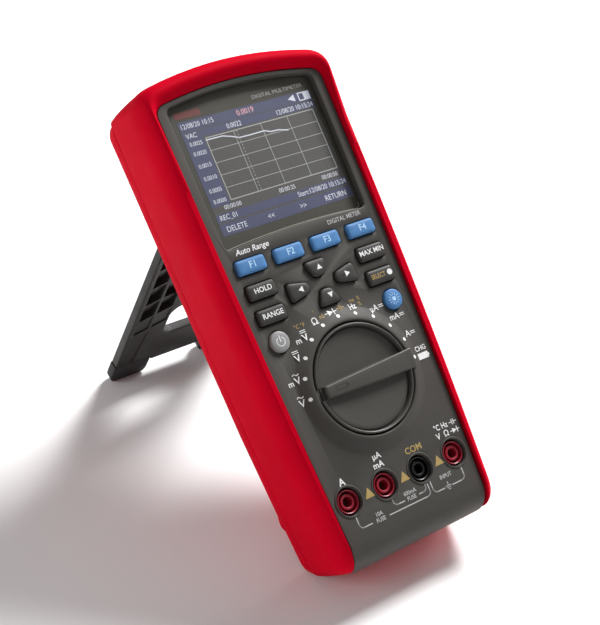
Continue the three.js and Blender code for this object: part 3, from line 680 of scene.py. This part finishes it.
# %% Body of the front case, behind the panel
def case_tub():
    walls = [(4.5, -32.4), (4.1, -32.0), (4.1, -4.7), (4.5, -4.3), (8.0, -4.3)]
    tub = workpiece("case_tub", skin([flat_section(CASE, inset, z) for inset, z in walls]))
    carve(tub, [workpiece("tub_hollow", plate(outline(CASE, 6.6), -33, -6.8)),
                workpiece("tub_mouth", plate(outline(dict(PANEL, bottom=-63), 0.6), -8, 0))])
    return place(tub, "meter", "panel", PANEL_GREY, ["front_case"])


case_tub()

# %% [markdown]
# ## The window and its picture
#
# The window is clear plastic set 3 mm below the face. Under it the picture is
# built from thin shapes: bands, a grid, a falling trace and rows of plain
# numbers, each a few hundredths of a millimetre higher than the last.

# %% Text as a thin mesh
def lettering(text, x, y, z, height, align="CENTER", lean=0.0, stretch=1.0, thick=0.0):
    curve = bpy.data.curves.new("text", "FONT")
    curve.body = text
    curve.size = height / 0.72
    curve.align_x = align
    curve.align_y = "CENTER"
    curve.shear = lean
    curve.offset = thick
    curve.extrude = 0.02
    curve.resolution_u = 3
    thing = bpy.data.objects.new("text", curve)
    bpy.context.scene.collection.objects.link(thing)
    bpy.context.view_layer.update()
    mesh = bpy.data.meshes.new_from_object(thing.evaluated_get(bpy.context.evaluated_depsgraph_get()))
    mesh.transform(Matrix.Translation((x, y, z)) @ Matrix.Diagonal((stretch, 1, 1, 1)))
    bpy.data.objects.remove(thing)
    bpy.data.curves.remove(curve)
    return mesh


def mound_height(radius):
    slope = [(r, z) for r, z in MOUND if z >= 0.0 and r > KNOB_WELL_RADIUS]
    for (r0, z0), (r1, z1) in zip(slope, slope[1:]):
        if r1 <= radius <= r0:
            return z0 + (z1 - z0) * (r0 - radius) / (r0 - r1)
    return 0.0


class Sheet:
    """Thin printed shapes at one height that share one material."""

    def __init__(self, z, thick=0.04):
        self.bm = bmesh.new()
        self.z, self.low, self.high = z, z - thick / 2, z + thick / 2

    def add(self, bm):
        mesh = bpy.data.meshes.new("part")
        bm.to_mesh(mesh)
        bm.free()
        self.bm.from_mesh(mesh)
        bpy.data.meshes.remove(mesh)

    def text(self, text, x, y, height, **options):
        mesh = lettering(text, x, y, self.z, height, **options)
        self.bm.from_mesh(mesh)
        bpy.data.meshes.remove(mesh)

    def box(self, x0, x1, y0, y1):
        self.add(block(x0, x1, y0, y1, self.low, self.high))

    def shape(self, points):
        self.add(plate(points, self.low, self.high))

    def line(self, points, width):
        for start, end in zip(points, points[1:]):
            a, b = Vector(start), Vector(end)
            along = (b - a).normalized() * width / 2
            side = Vector((-along.y, along.x))
            self.shape([a - along + side, a - along - side, b + along - side, b + along + side])

    def finish(self, name, material, body="meter", slot="panel", at=METER, draped=False):
        """Make the piece. Draped print lies on the cone around the knob."""
        bmesh.ops.remove_doubles(self.bm, verts=self.bm.verts, dist=0.0005)
        for vert in self.bm.verts if draped else ():
            vert.co.z += mound_height(math.hypot(vert.co.x, vert.co.y))
        place(workpiece(name, self.bm), body, slot, material, at=at, crease=40)


# %% Screen layout
SCREEN_Z = -3.42
WORDS_Z = SCREEN_Z + 0.05
GRID_WIDTH, CURSOR_TICKS = 0.26, 18
LEFT, RIGHT = -33.1, 35.2
FOOT, HEAD = 75.3, 126.6
GRAPH = dict(left=-23.0, right=32.9, low=89.4, high=117.5)


def screen_background():
    border = Sheet(SCREEN_Z - 0.18, 0.24)
    border.shape(outline(WINDOW, 0.15))
    border.finish("window_border", WINDOW_BORDER, slot="lcd")
    ground = Sheet(SCREEN_Z - 0.04)
    ground.box(LEFT, RIGHT, FOOT, HEAD)
    ground.finish("screen_ground", SCREEN_GREY, slot="lcd")
    bands = Sheet(SCREEN_Z)
    for low, high, right in ((122.0, HEAD, RIGHT), (118.4, 121.6, RIGHT), (FOOT, 80.4, RIGHT),
                             (81.2, 84.8, RIGHT), (88.0, 118.4, GRAPH["left"] - 0.8)):
        bands.box(LEFT, right, low, high)
    bands.finish("screen_bands", SCREEN_BAND, slot="lcd")


def screen_graph():
    left, right, low, high = GRAPH["left"], GRAPH["right"], GRAPH["low"], GRAPH["high"]
    lines = Sheet(SCREEN_Z + 0.03)
    lines.line([(left, low), (right, low), (right, high), (left, high), (left, low)], 0.42)
    for i in range(1, 5):
        row = high - (high - low) * (i * 0.2 + 0.005)
        lines.line([(left, row), (right, row)], GRID_WIDTH)
    for i in range(1, 4):
        column = left + (right - left) * i / 4
        lines.line([(column, low), (column, high)], GRID_WIDTH)
    for i in range(CURSOR_TICKS):
        tick = low + (high - low) * (i + 0.3) / CURSOR_TICKS
        lines.box(left + 15.4, left + 15.65, tick, tick + 0.8)
    lines.finish("screen_grid", SCREEN_LINE, slot="lcd")
    trace = Sheet(SCREEN_Z + 0.06)
    trace.line([(left, 116.6), (-15, 116.5), (-11, 115.3), (-7.5, 113.9), (-1, 113.8), (5.2, 113.9),
                (8.2, 112.8), (12.5, 112.6), (16.8, 111.4)], 0.5)
    trace.finish("screen_trace", SCREEN_TEXT, slot="lcd")


def screen_words():
    words = Sheet(WORDS_Z)
    row = dict(height=2.3, stretch=0.86)
    for value, x, y, align in (("12/08/20 10:15", -32.6, 124.3, "LEFT"), ("VAC", -31.6, 119.9, "LEFT"),
                               ("0.0022", -7.6, 119.9, "CENTER"), ("12/08/20 10:15:24", 34.2, 119.9, "RIGHT"),
                               ("REC_01", -31.6, 82.9, "LEFT"),
                               ("Start:12/08/20 10:15:24", 34.4, 82.9, "RIGHT")):
        words.text(value, x, y, align=align, **row)
    for i, value in enumerate(("0.0025", "0.0020", "0.0015", "0.0010", "0.0005", "0.0000")):
        y = GRAPH["high"] - (GRAPH["high"] - GRAPH["low"]) * i / 5
        words.text(value, -28.2, min(116.3, max(90.2, y)), height=1.9, stretch=0.88)
    for x, value in ((-23.3, "00:00:00"), (4.7, "00:00:25"), (27.6, "00:00:50")):
        words.text(value, x, 86.9, height=2.0, stretch=0.9)
    for x, value in ((-25.4, "DELETE"), (-7.9, "<<"), (8.9, ">>"), (26.4, "RETURN")):
        words.text(value, x, 77.7, height=2.5, stretch=0.88)
    words.shape([(22.8, 124.4), (26.4, 122.8), (26.4, 126.0)])
    words.line([(28.6, 122.6), (34.3, 122.6), (34.3, 126.0), (28.6, 126.0), (28.6, 122.6)], 0.5)
    words.box(31.2, 34.2, 122.7, 125.9)
    words.finish("screen_words", SCREEN_TEXT, slot="lcd")
    reading = Sheet(WORDS_Z)
    reading.text("0.0019", 0.2, 124.3, height=2.6, stretch=0.9)
    reading.finish("screen_reading", SCREEN_RED, slot="lcd")


def window_marks():
    """The plain badge and title over the picture, and a pale line along the window's lower lip that is a painted
    highlight.
    """
    badge = Sheet(SCREEN_Z)
    badge.shape(rounded([(-33.4, 127.9), (-20.4, 127.9), (-20.4, 130.9), (-33.4, 130.9)], 1.2))
    badge.finish("plain_badge", BADGE_RED, slot="lcd")
    # A pale line along the window's lower edge is a painted highlight, not a part of the meter.
    lip_highlight = Sheet(SCREEN_Z + 0.14)
    lower = [point for point in outline(WINDOW, 0.75) if point.y < 74]
    lip_highlight.line(sorted(lower, key=lambda point: point.x), 0.42)
    lip_highlight.finish("painted_window_lip_highlight", PAINTED_LIP_HIGHLIGHT, slot="lcd")
    title = Sheet(WORDS_Z)
    title.text("DIGITAL MULTIMETER", 32.6, 129.3, height=1.75, align="RIGHT", stretch=1.12)
    title.finish("window_title", SOFT_WHITE_INK, slot="lcd")


screen_background()
screen_graph()
screen_words()
window_marks()


# %% Window
def window():
    edges = [(-0.55, -5.1), (-0.6, -4.9), (-0.6, -3.5), (-0.45, -3.3)]
    pane = workpiece("window_pane", skin([flat_section(WINDOW, inset, z) for inset, z in edges]))
    return place(pane, "meter", "lens", WINDOW_PLASTIC, ["display_lens"])


window()

# %% [markdown]
# ## Keys
#
# The keys are soft rubber caps with rounded shoulders and a slightly domed
# top. Each is a skin through outlines that shrink as they rise: the first ones
# make the shoulder and the last ones the dome. A wider flange under the panel
# keeps the cap in its hole.

# %% Key caps
SHOULDER = [(0.0, 0.75), (-0.12, 1.05), (-0.34, 1.3), (-0.68, 1.46)]
DOME = [(-1.4, 1.55), (-2.2, 1.6)]
FLANGE = [(0.9, -4.4), (0.9, -3.4), (0.0, -3.35)]


def nodes_slot(node):
    return next(s["material_slot"] for s in frame["record"]["subparts"] if s["node"] == node)


def key_cap(name, x, y, shape, material):
    centre = Vector((x, y))
    reach = max((point - centre).length for point in shape(x, y))
    sections = [[(*point, z) for point in shape(x, y, grow)] for grow, z in FLANGE + SHOULDER]
    for grow, z in DOME:
        scale = 1 + grow / reach * 1.15
        sections.append([(*(centre + (point - centre) * scale), z) for point in shape(x, y, SHOULDER[-1][0])])
    cap = workpiece(f"{name}_cap", skin(sections))
    return place(cap, name.replace("_key", "_button"), nodes_slot(name), material, [name], crease=50)


caps = {name: key_cap(name, *details) for name, details in KEYS.items()}
print("key caps", len(caps))

# %% [markdown]
# ## Legends on the keys
#
# Each legend is a thin print on its own key, so it rides with the key when the
# key is pressed. The arrows are plain triangles.

# %% Key legends
TOP = 1.62


def legend(key, material, draw):
    sheet = Sheet(TOP)
    draw(sheet)
    sheet.finish(f"{key}_legend", material, key.replace("_key", "_button"), nodes_slot(key))


def arrow(x, y, turn, size=1.35):
    spin = Matrix.Rotation(turn, 2)
    return [Vector((x, y)) + spin @ Vector(p) * size for p in ((0, 1.0), (-1.0, -0.75), (1.0, -0.75))]


for i, x in FUNCTION_X.items():
    legend(f"function_key_{i}", PALE_BLUE_INK,
           lambda s, i=i, x=x: s.text(f"F{i}", x + 0.6, 60.2, 2.9, thick=0.06))
for key, word, x, y in (("hold_key", "HOLD", -28.3, 49.1), ("range_key", "RANGE", -28.5, 38.0),
                        ("max_min_key", "MAX MIN", 28.9, 49.1)):
    legend(key, WHITE_INK, lambda s, w=word, x=x, y=y: s.text(w, x, y, 2.25, thick=0.05))
for key, x, y, turn in (("up_key", 1.0, 50.3, 0), ("down_key", 1.0, 37.6, math.pi),
                        ("left_key", -11.5, 43.7, math.pi / 2), ("right_key", 12.9, 43.7, -math.pi / 2)):
    legend(key, WHITE_INK, lambda s, x=x, y=y, t=turn: s.shape(arrow(x, y, t)))
legend("select_key", GOLD_INK, lambda s: s.text("SELECT", 27.2, 38.0, 2.1, stretch=0.8, thick=0.04))


POWER_AT = Vector(KEYS["power_key"][:2])
LAMP_AT = Vector(KEYS["lamp_key"][:2])


def select_mark():
    mark = Sheet(TOP)
    mark.shape(round_points(33.4, 38.1, 1.35, 24))
    mark.finish("select_mark", WHITE_INK, "select_button", "black_key")


def power_mark():
    mark = Sheet(TOP)
    angles = [math.radians(125 + i * 290 / 18) for i in range(19)]
    mark.line([POWER_AT + Vector((1.9 * math.cos(a), 1.9 * math.sin(a) - 0.1)) for a in angles], 0.42)
    mark.line([POWER_AT, POWER_AT + Vector((0, 2.5))], 0.42)
    mark.finish("power_mark", WHITE_INK, "power_button", "grey_key")


def lamp_mark():
    mark = Sheet(TOP)
    mark.shape(round_points(*LAMP_AT, 1.0, 20))
    for i in range(12):
        angle = math.radians(30 * i)
        ray = Vector((math.cos(angle), math.sin(angle)))
        mark.line([LAMP_AT + ray * 1.7, LAMP_AT + ray * 2.7], 0.28)
    mark.finish("lamp_mark", PALE_BLUE_INK, "lamp_button", "blue_key")


select_mark()
power_mark()
lamp_mark()

# %% [markdown]
# ## The selector
#
# The knob is a shallow cup with a rolled lip and a tapered grip bar across it.
# The cup is turned from a profile. The bar is a skin with soft edges, and a
# thinner nose carries it out over the lip on its pointing side.

# %% Selector knob
CUP = [(0, 0.45), (10, 0.5), (16, 0.7), (20, 1.05), (21.3, 1.2), (21.75, 1.05), (21.95, 0.3),
       (22.45, 0.3), (22.55, 1.6), (22.65, 2.7), (22.85, 3.08), (23.2, 3.25), (23.5, 3.1),
       (23.72, 2.7), (23.8, 2.0),
       (23.8, -0.9), (0, -0.9)]
GRIP_EDGE = [(0.55, 0.0), (0.45, 0.4), (0.14, 2.4), (0.0, 2.95), (-0.12, 3.25), (-0.35, 3.42), (-0.7, 3.5)]
NOSE_EDGE = [(-0.15, 2.9), (0.0, 2.96), (0.02, 3.12), (-0.12, 3.3), (-0.35, 3.42), (-0.75, 3.47)]
BAR_TAIL, BAR_END, NOSE_START, NOSE_TIP = -20.2, 23.4, 19.5, 26.6
GRIP_TOP = GRIP_EDGE[-1][1]


def bar_half(x):
    return 2.5 + 1.85 * (x - BAR_TAIL) / 46.6


def grip_section(start, end, grow, z):
    points = [(start - grow, -bar_half(start) - grow), (end + grow, -bar_half(end) - grow),
              (end + grow, bar_half(end) + grow), (start - grow, bar_half(start) + grow)]
    return [(*point, z) for point in rounded(points, 0.9)]


def selector():
    cup = workpiece("knob_cup", turned(CUP, 144))
    tail = plate(rounded([(-26, -2.7), (-19.8, -2.7), (-19.8, 2.7), (-26, 2.7)], 0.4), 0.9, 5)
    carve(cup, [workpiece("tail_slot", tail)])
    place(cup, "selector", "knob", KNOB_GREY, ["selector_knob"], crease=40)
    for name, start, end, edge in (("knob_grip", BAR_TAIL, BAR_END, GRIP_EDGE),
                                   ("knob_nose", NOSE_START, NOSE_TIP, NOSE_EDGE)):
        bar = workpiece(name, skin([grip_section(start, end, grow, z) for grow, z in edge]))
        place(bar, "selector", "knob", KNOB_GREY, crease=45)
    mark = Sheet(GRIP_TOP + 0.01)
    mark.line([(-15.4, -0.75), (-9.9, -0.75), (-9.9, 0.95), (-15.4, 0.95), (-15.4, -0.75)], 0.26)
    mark.shape([(-9.9, -0.7), (-8.6, 0.1), (-9.9, 0.9)])
    mark.finish("grip_mark", DARK_INK, "selector", "knob")


selector()

# %% [markdown]
# ## Test-lead sockets
#
# Each socket is a coloured cup with a post in its middle and a brass liner
# in the post. The plug's shroud enters the gap round the post. A thin ring is
# moulded on the panel around each well.

# %% Sockets
RING = [(6.05, -0.5), (6.05, 0.14), (6.14, 0.34), (6.38, 0.42), (6.64, 0.34), (6.82, 0.12), (6.9, -0.05),
        (6.9, -0.5), (6.05, -0.5)]
SHROUD = [(2.8, -24.2), (6.6, -24.2), (6.6, -22.2), (5.1, -22.2), (5.1, -1.3), (5.0, -0.95), (4.75, -0.85),
          (4.5, -1.0), (4.4, -1.3), (4.4, -16), (3.3, -16), (3.3, -1.85), (3.22, -1.6), (3.0, -1.5),
          (2.5, -1.5), (2.25, -1.62), (2.15, -1.9), (2.15, -8.2), (2.8, -8.2), (2.8, -24.2)]
LINER = [(2.0, -22.7), (2.0, -9.0), (2.15, -8.7), (2.35, -8.62), (2.5, -8.8), (2.5, -24.2), (0, -24.2),
         (0, -22.7), (2.0, -22.7)]



def ring_piece(name, profile, steps, x, slot, material, stands_for=()):
    place(workpiece(name, turned(profile, steps, x, JACK_Y)), "meter", slot, material, stands_for)


for name, x in JACKS.items():
    colour = BLACK_JACK if name == "common" else RED_JACK
    tube, liner = f"{name}_jack_shroud", f"{name}_jack_socket"
    ring_piece(f"{name}_tube", SHROUD, 64, x, nodes_slot(tube), colour, [tube])
    ring_piece(f"{name}_liner", LINER, 40, x, "brass", BRASS, [liner])
    ring_piece(f"{name}_well_ring", RING, 64, x, "panel", PANEL_GREY)

# %% [markdown]
# ## Print on the panel
#
# The range signs sit outside the dots of the dial, eighteen degrees apart.
# White, pale and gold print are one piece each. They lie a hair above the
# panel, and what is near the knob follows the slope of its cone.

# %% Dial and socket print
INK_Z = 0.05
DOT_RADIUS, DOT_REACH, STEP = 0.82, 27.9, 18


def wave(sheet, x, y, size=1.0):
    points = [(x + size * (i / 8 - 1) * 1.3, y + size * 0.35 * math.sin(math.pi * i / 8)) for i in range(17)]
    sheet.line(points, 0.36)


def direct(sheet, x, y, size=1.0):
    sheet.line([(x - 1.3 * size, y + 0.4), (x + 1.3 * size, y + 0.4)], 0.36)
    for i in (-1, 0, 1):
        sheet.line([(x + i * size - 0.3, y - 0.4), (x + i * size + 0.3, y - 0.4)], 0.34)


def bracket(sheet, left, right, low, gap, radius=2.0, high=-50.2):
    corner = [(radius * (1 - math.cos(a)), radius * (1 - math.sin(a)))
              for a in (math.radians(15 * i) for i in range(7))]
    down = [(left, high)] + [(left + dx, low + dy) for dx, dy in corner] + [(gap[0], low)]
    up = [(gap[1], low)] + [(right - dx, low + dy) for dx, dy in reversed(corner)] + [(right, high)]
    sheet.line(down, 0.5)
    sheet.line(up, 0.5)


def diode(sheet, x, y, size=1.0):
    sheet.shape([(x - 1.2 * size, y - size), (x + 0.9 * size, y), (x - 1.2 * size, y + size)])
    sheet.line([(x + 1.1 * size, y - size), (x + 1.1 * size, y + size)], 0.4)
    sheet.line([(x - 2.2 * size, y), (x + 2.1 * size, y)], 0.36)


def capacitor(sheet, x, y, size=1.0):
    for side in (-1, 1):
        sheet.line([(x + side * 0.45, y - size), (x + side * 0.45, y + size)], 0.36)
        sheet.line([(x + side * 0.5, y), (x + side * 2.0 * size, y)], 0.36)


def white_print():
    white = Sheet(INK_Z)
    for i in range(11):
        angle = math.radians(180 - STEP * i)
        dot = Vector((math.cos(angle), math.sin(angle))) * DOT_REACH
        white.shape(round_points(*dot, DOT_RADIUS, 20))
    big = dict(height=3.0, thick=0.05)
    white.text("V", -31.2, -0.4, **big)
    wave(white, -31.2, 2.3)
    white.text("m", -32.6, 8.6, height=2.6, thick=0.05)
    white.text("V", -29.3, 8.9, **big)
    wave(white, -29.3, 11.6)
    white.text("V", -25.2, 17.4, **big)
    direct(white, -25.2, 20.2)
    white.text("m", -21.4, 24.0, height=2.6, thick=0.05)
    white.text("V", -18.0, 24.4, **big)
    direct(white, -18.0, 27.2)
    white.text("Ω", -10.7, 29.2, **big)
    diode(white, -1.8, 30.5, 1.25)
    white.text("Hz", 9.3, 29.6, height=2.7, stretch=0.9, thick=0.05)
    white.text("µA", 19.2, 25.6, height=2.8, stretch=0.95, thick=0.05)
    direct(white, 23.2, 25.9, 0.8)
    white.text("mA", 27.4, 19.2, height=2.8, stretch=0.9, thick=0.05)
    direct(white, 31.6, 19.3, 0.8)
    white.text("A", 30.4, 10.3, height=2.9, thick=0.05)
    direct(white, 33.2, 10.4, 0.8)
    white.text("CHG", 33.5, 2.5, height=2.2, stretch=0.9, thick=0.05)
    white.box(30.7, 36.3, -2.3, 0.5)
    white.box(36.3, 36.9, -1.5, -0.3)
    white.text("Auto Range", -24.9, 66.7, height=2.5, lean=0.25, stretch=1.0, thick=0.05)
    white.text("A", -28.4, -35.8, height=3.2, thick=0.08)
    white.text("µA", -8.4, -31.8, height=2.7, thick=0.06)
    white.text("mA", -9.0, -35.5, height=2.7, thick=0.06)
    white.text("°C Hz", 27.2, -31.8, height=2.5, stretch=0.86, thick=0.05)
    capacitor(white, 34.0, -31.8, 0.95)
    white.text("V  Ω", 26.6, -35.4, height=2.6, thick=0.05)
    diode(white, 33.6, -35.4, 1.1)
    white.finish("white_print", WHITE_INK, draped=True)


def soft_print():
    soft = Sheet(INK_Z)
    bracket(soft, -28.5, 9.6, -56.0, (-22.5, -13.0))
    bracket(soft, -9.3, 8.4, -53.5, (-4.0, 4.2), high=-50.4)
    bracket(soft, 11.3, 28.8, -56.0, (16.9, 21.6))
    small = dict(height=1.75, stretch=0.92, thick=0.045)
    soft.text("10A", -17.8, -53.7, **small)
    soft.text("FUSE", -17.8, -56.1, **small)
    soft.text("600mA", 0.0, -51.1, **small)
    soft.text("FUSE", 0.0, -53.5, **small)
    soft.text("INPUT", 19.8, -51.4, **small)
    soft.line([(19.3, -54.0), (19.3, -55.6)], 0.4)
    for i, half in enumerate((1.4, 0.95, 0.5)):
        soft.line([(19.3 - half, -55.6 - 0.75 * i), (19.3 + half, -55.6 - 0.75 * i)], 0.34)
    soft.text("DIGITAL METER", 23.4, 66.9, height=2.0, stretch=0.92, thick=0.03)
    soft.finish("soft_print", SOFT_WHITE_INK)


def gold_print():
    gold = Sheet(INK_Z)
    gold.text("°C °F", -18.4, 29.7, height=1.8, thick=0.02)
    gold.text("nS", -6.6, 30.2, height=1.9, thick=0.02)
    gold.text("°", -9.6, 32.6, height=2.2)
    capacitor(gold, 3.5, 31.0, 1.0)
    gold.text("%", 13.6, 29.8, height=1.9, thick=0.02)
    gold.text("ms  %", 11.8, 32.3, height=1.7, thick=0.02)
    gold.text("COM", 10.0, -35.5, height=2.8, thick=0.06)
    for x in (-18.4, 0.4, 19.4):
        gold.shape([(x - 2.5, -46.2), (x + 2.5, -46.2), (x, -41.9)])
    gold.finish("gold_print", GOLD_INK, draped=True)


white_print()
soft_print()
gold_print()

# %% [markdown]
# ## Parts that keep their CAD shape
#
# Boards, fuses, screws and the battery are seen only through gaps or with the
# case apart. Their CAD shape is right, so they keep it and only take a finish.
# The rear case, the battery door and the feet keep their CAD shape too, but a
# copy of each is merged and its edges are rounded, because light catches on
# edges.

# %% Finishes on the CAD parts
KEPT = {
    SEAL_RUBBER: ["case_seal", "knob_seal"],
    SILICONE: ["keypad_mat"],
    BOARD_GREEN: ["main_board", "input_board"],
    DARK_PLASTIC: ["knob_shaft", "contact_rotor", "board_connector", "buzzer", "lcd_module"],
    CERAMIC: ["fuse_1", "fuse_2"],
    BATTERY_WRAP: ["battery_pack"],
    STEEL: ["detent_spring", "shield_can", "hinge_pin", "cover_screw_left", "cover_screw_right"]
    + [name for name in nodes if name.startswith("case_screw")],
    BRASS: ["battery_contact_left", "battery_contact_right"]
    + [name for name in nodes if name.endswith("_clip")],
}
for material, names in KEPT.items():
    for name in names:
        nodes[name].data.materials.clear()
        nodes[name].data.materials.append(material)


# %% Rounded copies of CAD parts
def rounded_copy(node, name, material, body, width, segments=3):
    bm = bmesh.new()
    bm.from_mesh(nodes[node].data)
    bmesh.ops.transform(bm, matrix=METER.inverted(), verts=bm.verts)
    bmesh.ops.remove_doubles(bm, verts=bm.verts, dist=0.002)
    bmesh.ops.dissolve_limit(bm, angle_limit=math.radians(1), verts=bm.verts, edges=bm.edges)
    thing = soften(workpiece(name, bm), width, segments, 32)
    place(thing, body, nodes_slot(node), material, [node])


rounded_copy("rear_case", "rear_shell", RED_SHELL, "meter", 0.5)
rounded_copy("battery_cover", "battery_door", DARK_PLASTIC, "meter", 0.3)
for side in ("left", "right"):
    rounded_copy(f"stand_foot_{side}", f"{side}_rubber_foot", FOOT_RUBBER, "stand", 1.1, segments=4)

# %% [markdown]
# ## The kickstand
#
# The stand is a broad plate on a barrel hinge. Scooped pockets make a lattice
# of slanted ribs on the side that faces the case, each pocket deepest at its
# lower end. It is drawn in the stand's own frame, with the hinge at the origin
# and the feet towards -y.

# %% Kickstand
STAND_HALF, STAND_LENGTH, FOOT_START, FOOT_INNER = 36.5, 117.0, 113.15, 15.6
STAND_FACE = 2.5
STAND_HOLE = [(-10.5, -93.5), (10.5, -93.5), (15, -89.5), (15, -73.5),
              (11.5, -69), (-11.5, -69), (-15, -73.5), (-15, -89.5)]
STAND_ROWS = [-84.5, -72, -57.5, -43, -28, -12]
RIB, RAIL_INNER, WEB, SLANT = 25.4, 33.8, 0.8, 3.0


def scoop(x0, x1, low, high, depth_low, depth_high):
    """Cutter for one slanted pocket, deepest at its lower end."""
    corners = [(x0, low), (x1, low + SLANT), (x1, high + SLANT), (x0, high)]
    loop = rounded(corners, 0.8, 4)

    def floor_z(point):
        along = (point.y - low - SLANT * (point.x - x0) / (x1 - x0)) / (high - low)
        return STAND_FACE - depth_low + (depth_low - depth_high) * along

    return workpiece("scoop", skin([[(p.x, p.y, floor_z(p)) for p in loop], [(p.x, p.y, 3.4) for p in loop]]))


def stand_scoops():
    cutters = []
    for i, (low, high) in enumerate(zip(STAND_ROWS, STAND_ROWS[1:])):
        depths = (0.7, 0.35) if i == 0 else (3.4, 0.7)
        for side in (-1, 1):
            inner = 16.4 if i < 2 else WEB
            cutters.append(scoop(side * RAIL_INNER, side * (RIB + WEB), low + WEB, high - WEB, *depths))
            cutters.append(scoop(side * (RIB - WEB), side * inner, low + SLANT + WEB, high + SLANT - WEB,
                                 *depths))
    return cutters


def kickstand():
    corners = [(-STAND_HALF, 0), (-STAND_HALF, -STAND_LENGTH), (STAND_HALF, -STAND_LENGTH), (STAND_HALF, 0)]
    stand = workpiece("folding_stand", plate(rounded(corners, 1.5), -STAND_FACE, STAND_FACE))
    cutters = [workpiece("hole", plate(rounded(STAND_HOLE, 2.4), -4, 4))]
    for side in (-1, 1):
        x0, x1 = sorted((side * FOOT_INNER, side * 50))
        cutters.append(workpiece("foot_cut", block(x0, x1, -130, -FOOT_START, -4, 4)))
    carve(stand, cutters)
    soften(stand, 0.9, 4, 50)
    carve(stand, stand_scoops())
    soften(stand, 0.12, 2, 50)
    place(stand, "stand", "stand_plastic", STAND_BLACK, ["kickstand"], at=STAND, crease=35)


def stand_trim():
    barrel = turned([(1.5, 36.5), (1.5, -36.5), (2.3, -36.5), (2.6, -36.2), (2.6, 36.2), (2.3, 36.5),
                     (1.5, 36.5)], 40)
    bmesh.ops.rotate(barrel, verts=barrel.verts, matrix=Matrix.Rotation(math.pi / 2, 3, "Y"))
    place(workpiece("stand_barrel", barrel), "stand", "stand_plastic", STAND_BLACK, at=STAND)
    ridge = Sheet(STAND_FACE + 0.05, 0.5)
    for side in (-1, 1):
        ridge.line([(side * RIB, -85.4), (side * 27.4, -112.2)], 0.9)
    ridge.finish("stand_ridges", STAND_BLACK, "stand", "stand_plastic", at=STAND)


kickstand()
stand_trim()

# %% [markdown]
# ## Floor, light and camera
#
# A plain white floor and soft lights show the shape without drama. The main
# light comes from the upper right and two weaker ones graze the flanks. The
# camera is set in the meter's own frame, so it follows the meter's lean.

# %% Floor
def floor():
    bm = bmesh.new()
    bmesh.ops.create_grid(bm, x_segments=2, y_segments=2, size=6)
    ground = workpiece("floor", bm)
    finish = Finish("floor_paint")
    patches = finish.noise(400, 2)
    white = finish.blend(patches, (0.93, 0.93, 0.93, 1), (0.95, 0.95, 0.95, 1))
    finish.surface(Base_Color=white, Roughness=0.8)
    ground.data.materials.append(finish.material)


floor()


# %% Lights
CENTRE = Vector((0, 0, 0.09))


def soft_light(name, place_at, size, power):
    lamp = bpy.data.lights.new(name, "AREA")
    lamp.shape = "RECTANGLE"
    lamp.size, lamp.size_y = size
    lamp.energy = power
    thing = bpy.data.objects.new(name, lamp)
    bpy.context.scene.collection.objects.link(thing)
    thing.location = place_at
    thing.rotation_euler = (CENTRE - Vector(place_at)).to_track_quat("-Z", "Y").to_euler()


soft_light("key_light", (1.0, 0.22, 1.2), (0.45, 0.45), 35)
soft_light("side_light", (-1.25, 0.42, 0.42), (0.8, 0.6), 7)
soft_light("rim_light", (1.35, 0.42, 0.32), (0.6, 0.5), 6)
world = bpy.data.worlds.new("studio")
world.use_nodes = True
background = world.node_tree.nodes["Background"].inputs
background["Color"].default_value = (1, 1, 1, 1)
background["Strength"].default_value = 0.27
bpy.context.scene.world = world
bpy.context.scene.view_settings.view_transform = "Standard"

# %% Camera
EYE = Vector((-304.22, -4.70, 474.29))
AIM = Vector((0.0, 37.08, -25.34))
SKYWARD = Vector((0.29593, 0.91996, 0.25711))
LENS, SENSOR = 77.45, 36.0


def camera():
    eye, aim = METER @ EYE, METER @ AIM
    back = (eye - aim).normalized()
    right = (METER.to_3x3() @ SKYWARD).cross(back).normalized()
    data = bpy.data.cameras.new("camera")
    data.lens, data.sensor_width, data.sensor_fit = LENS, SENSOR, "AUTO"
    data.clip_start = 0.01
    thing = bpy.data.objects.new("camera", data)
    bpy.context.scene.collection.objects.link(thing)
    turn = Matrix((right, back.cross(right), back)).transposed().to_4x4()
    thing.matrix_world = Matrix.Translation(eye) @ turn
    bpy.context.scene.camera = thing


camera()
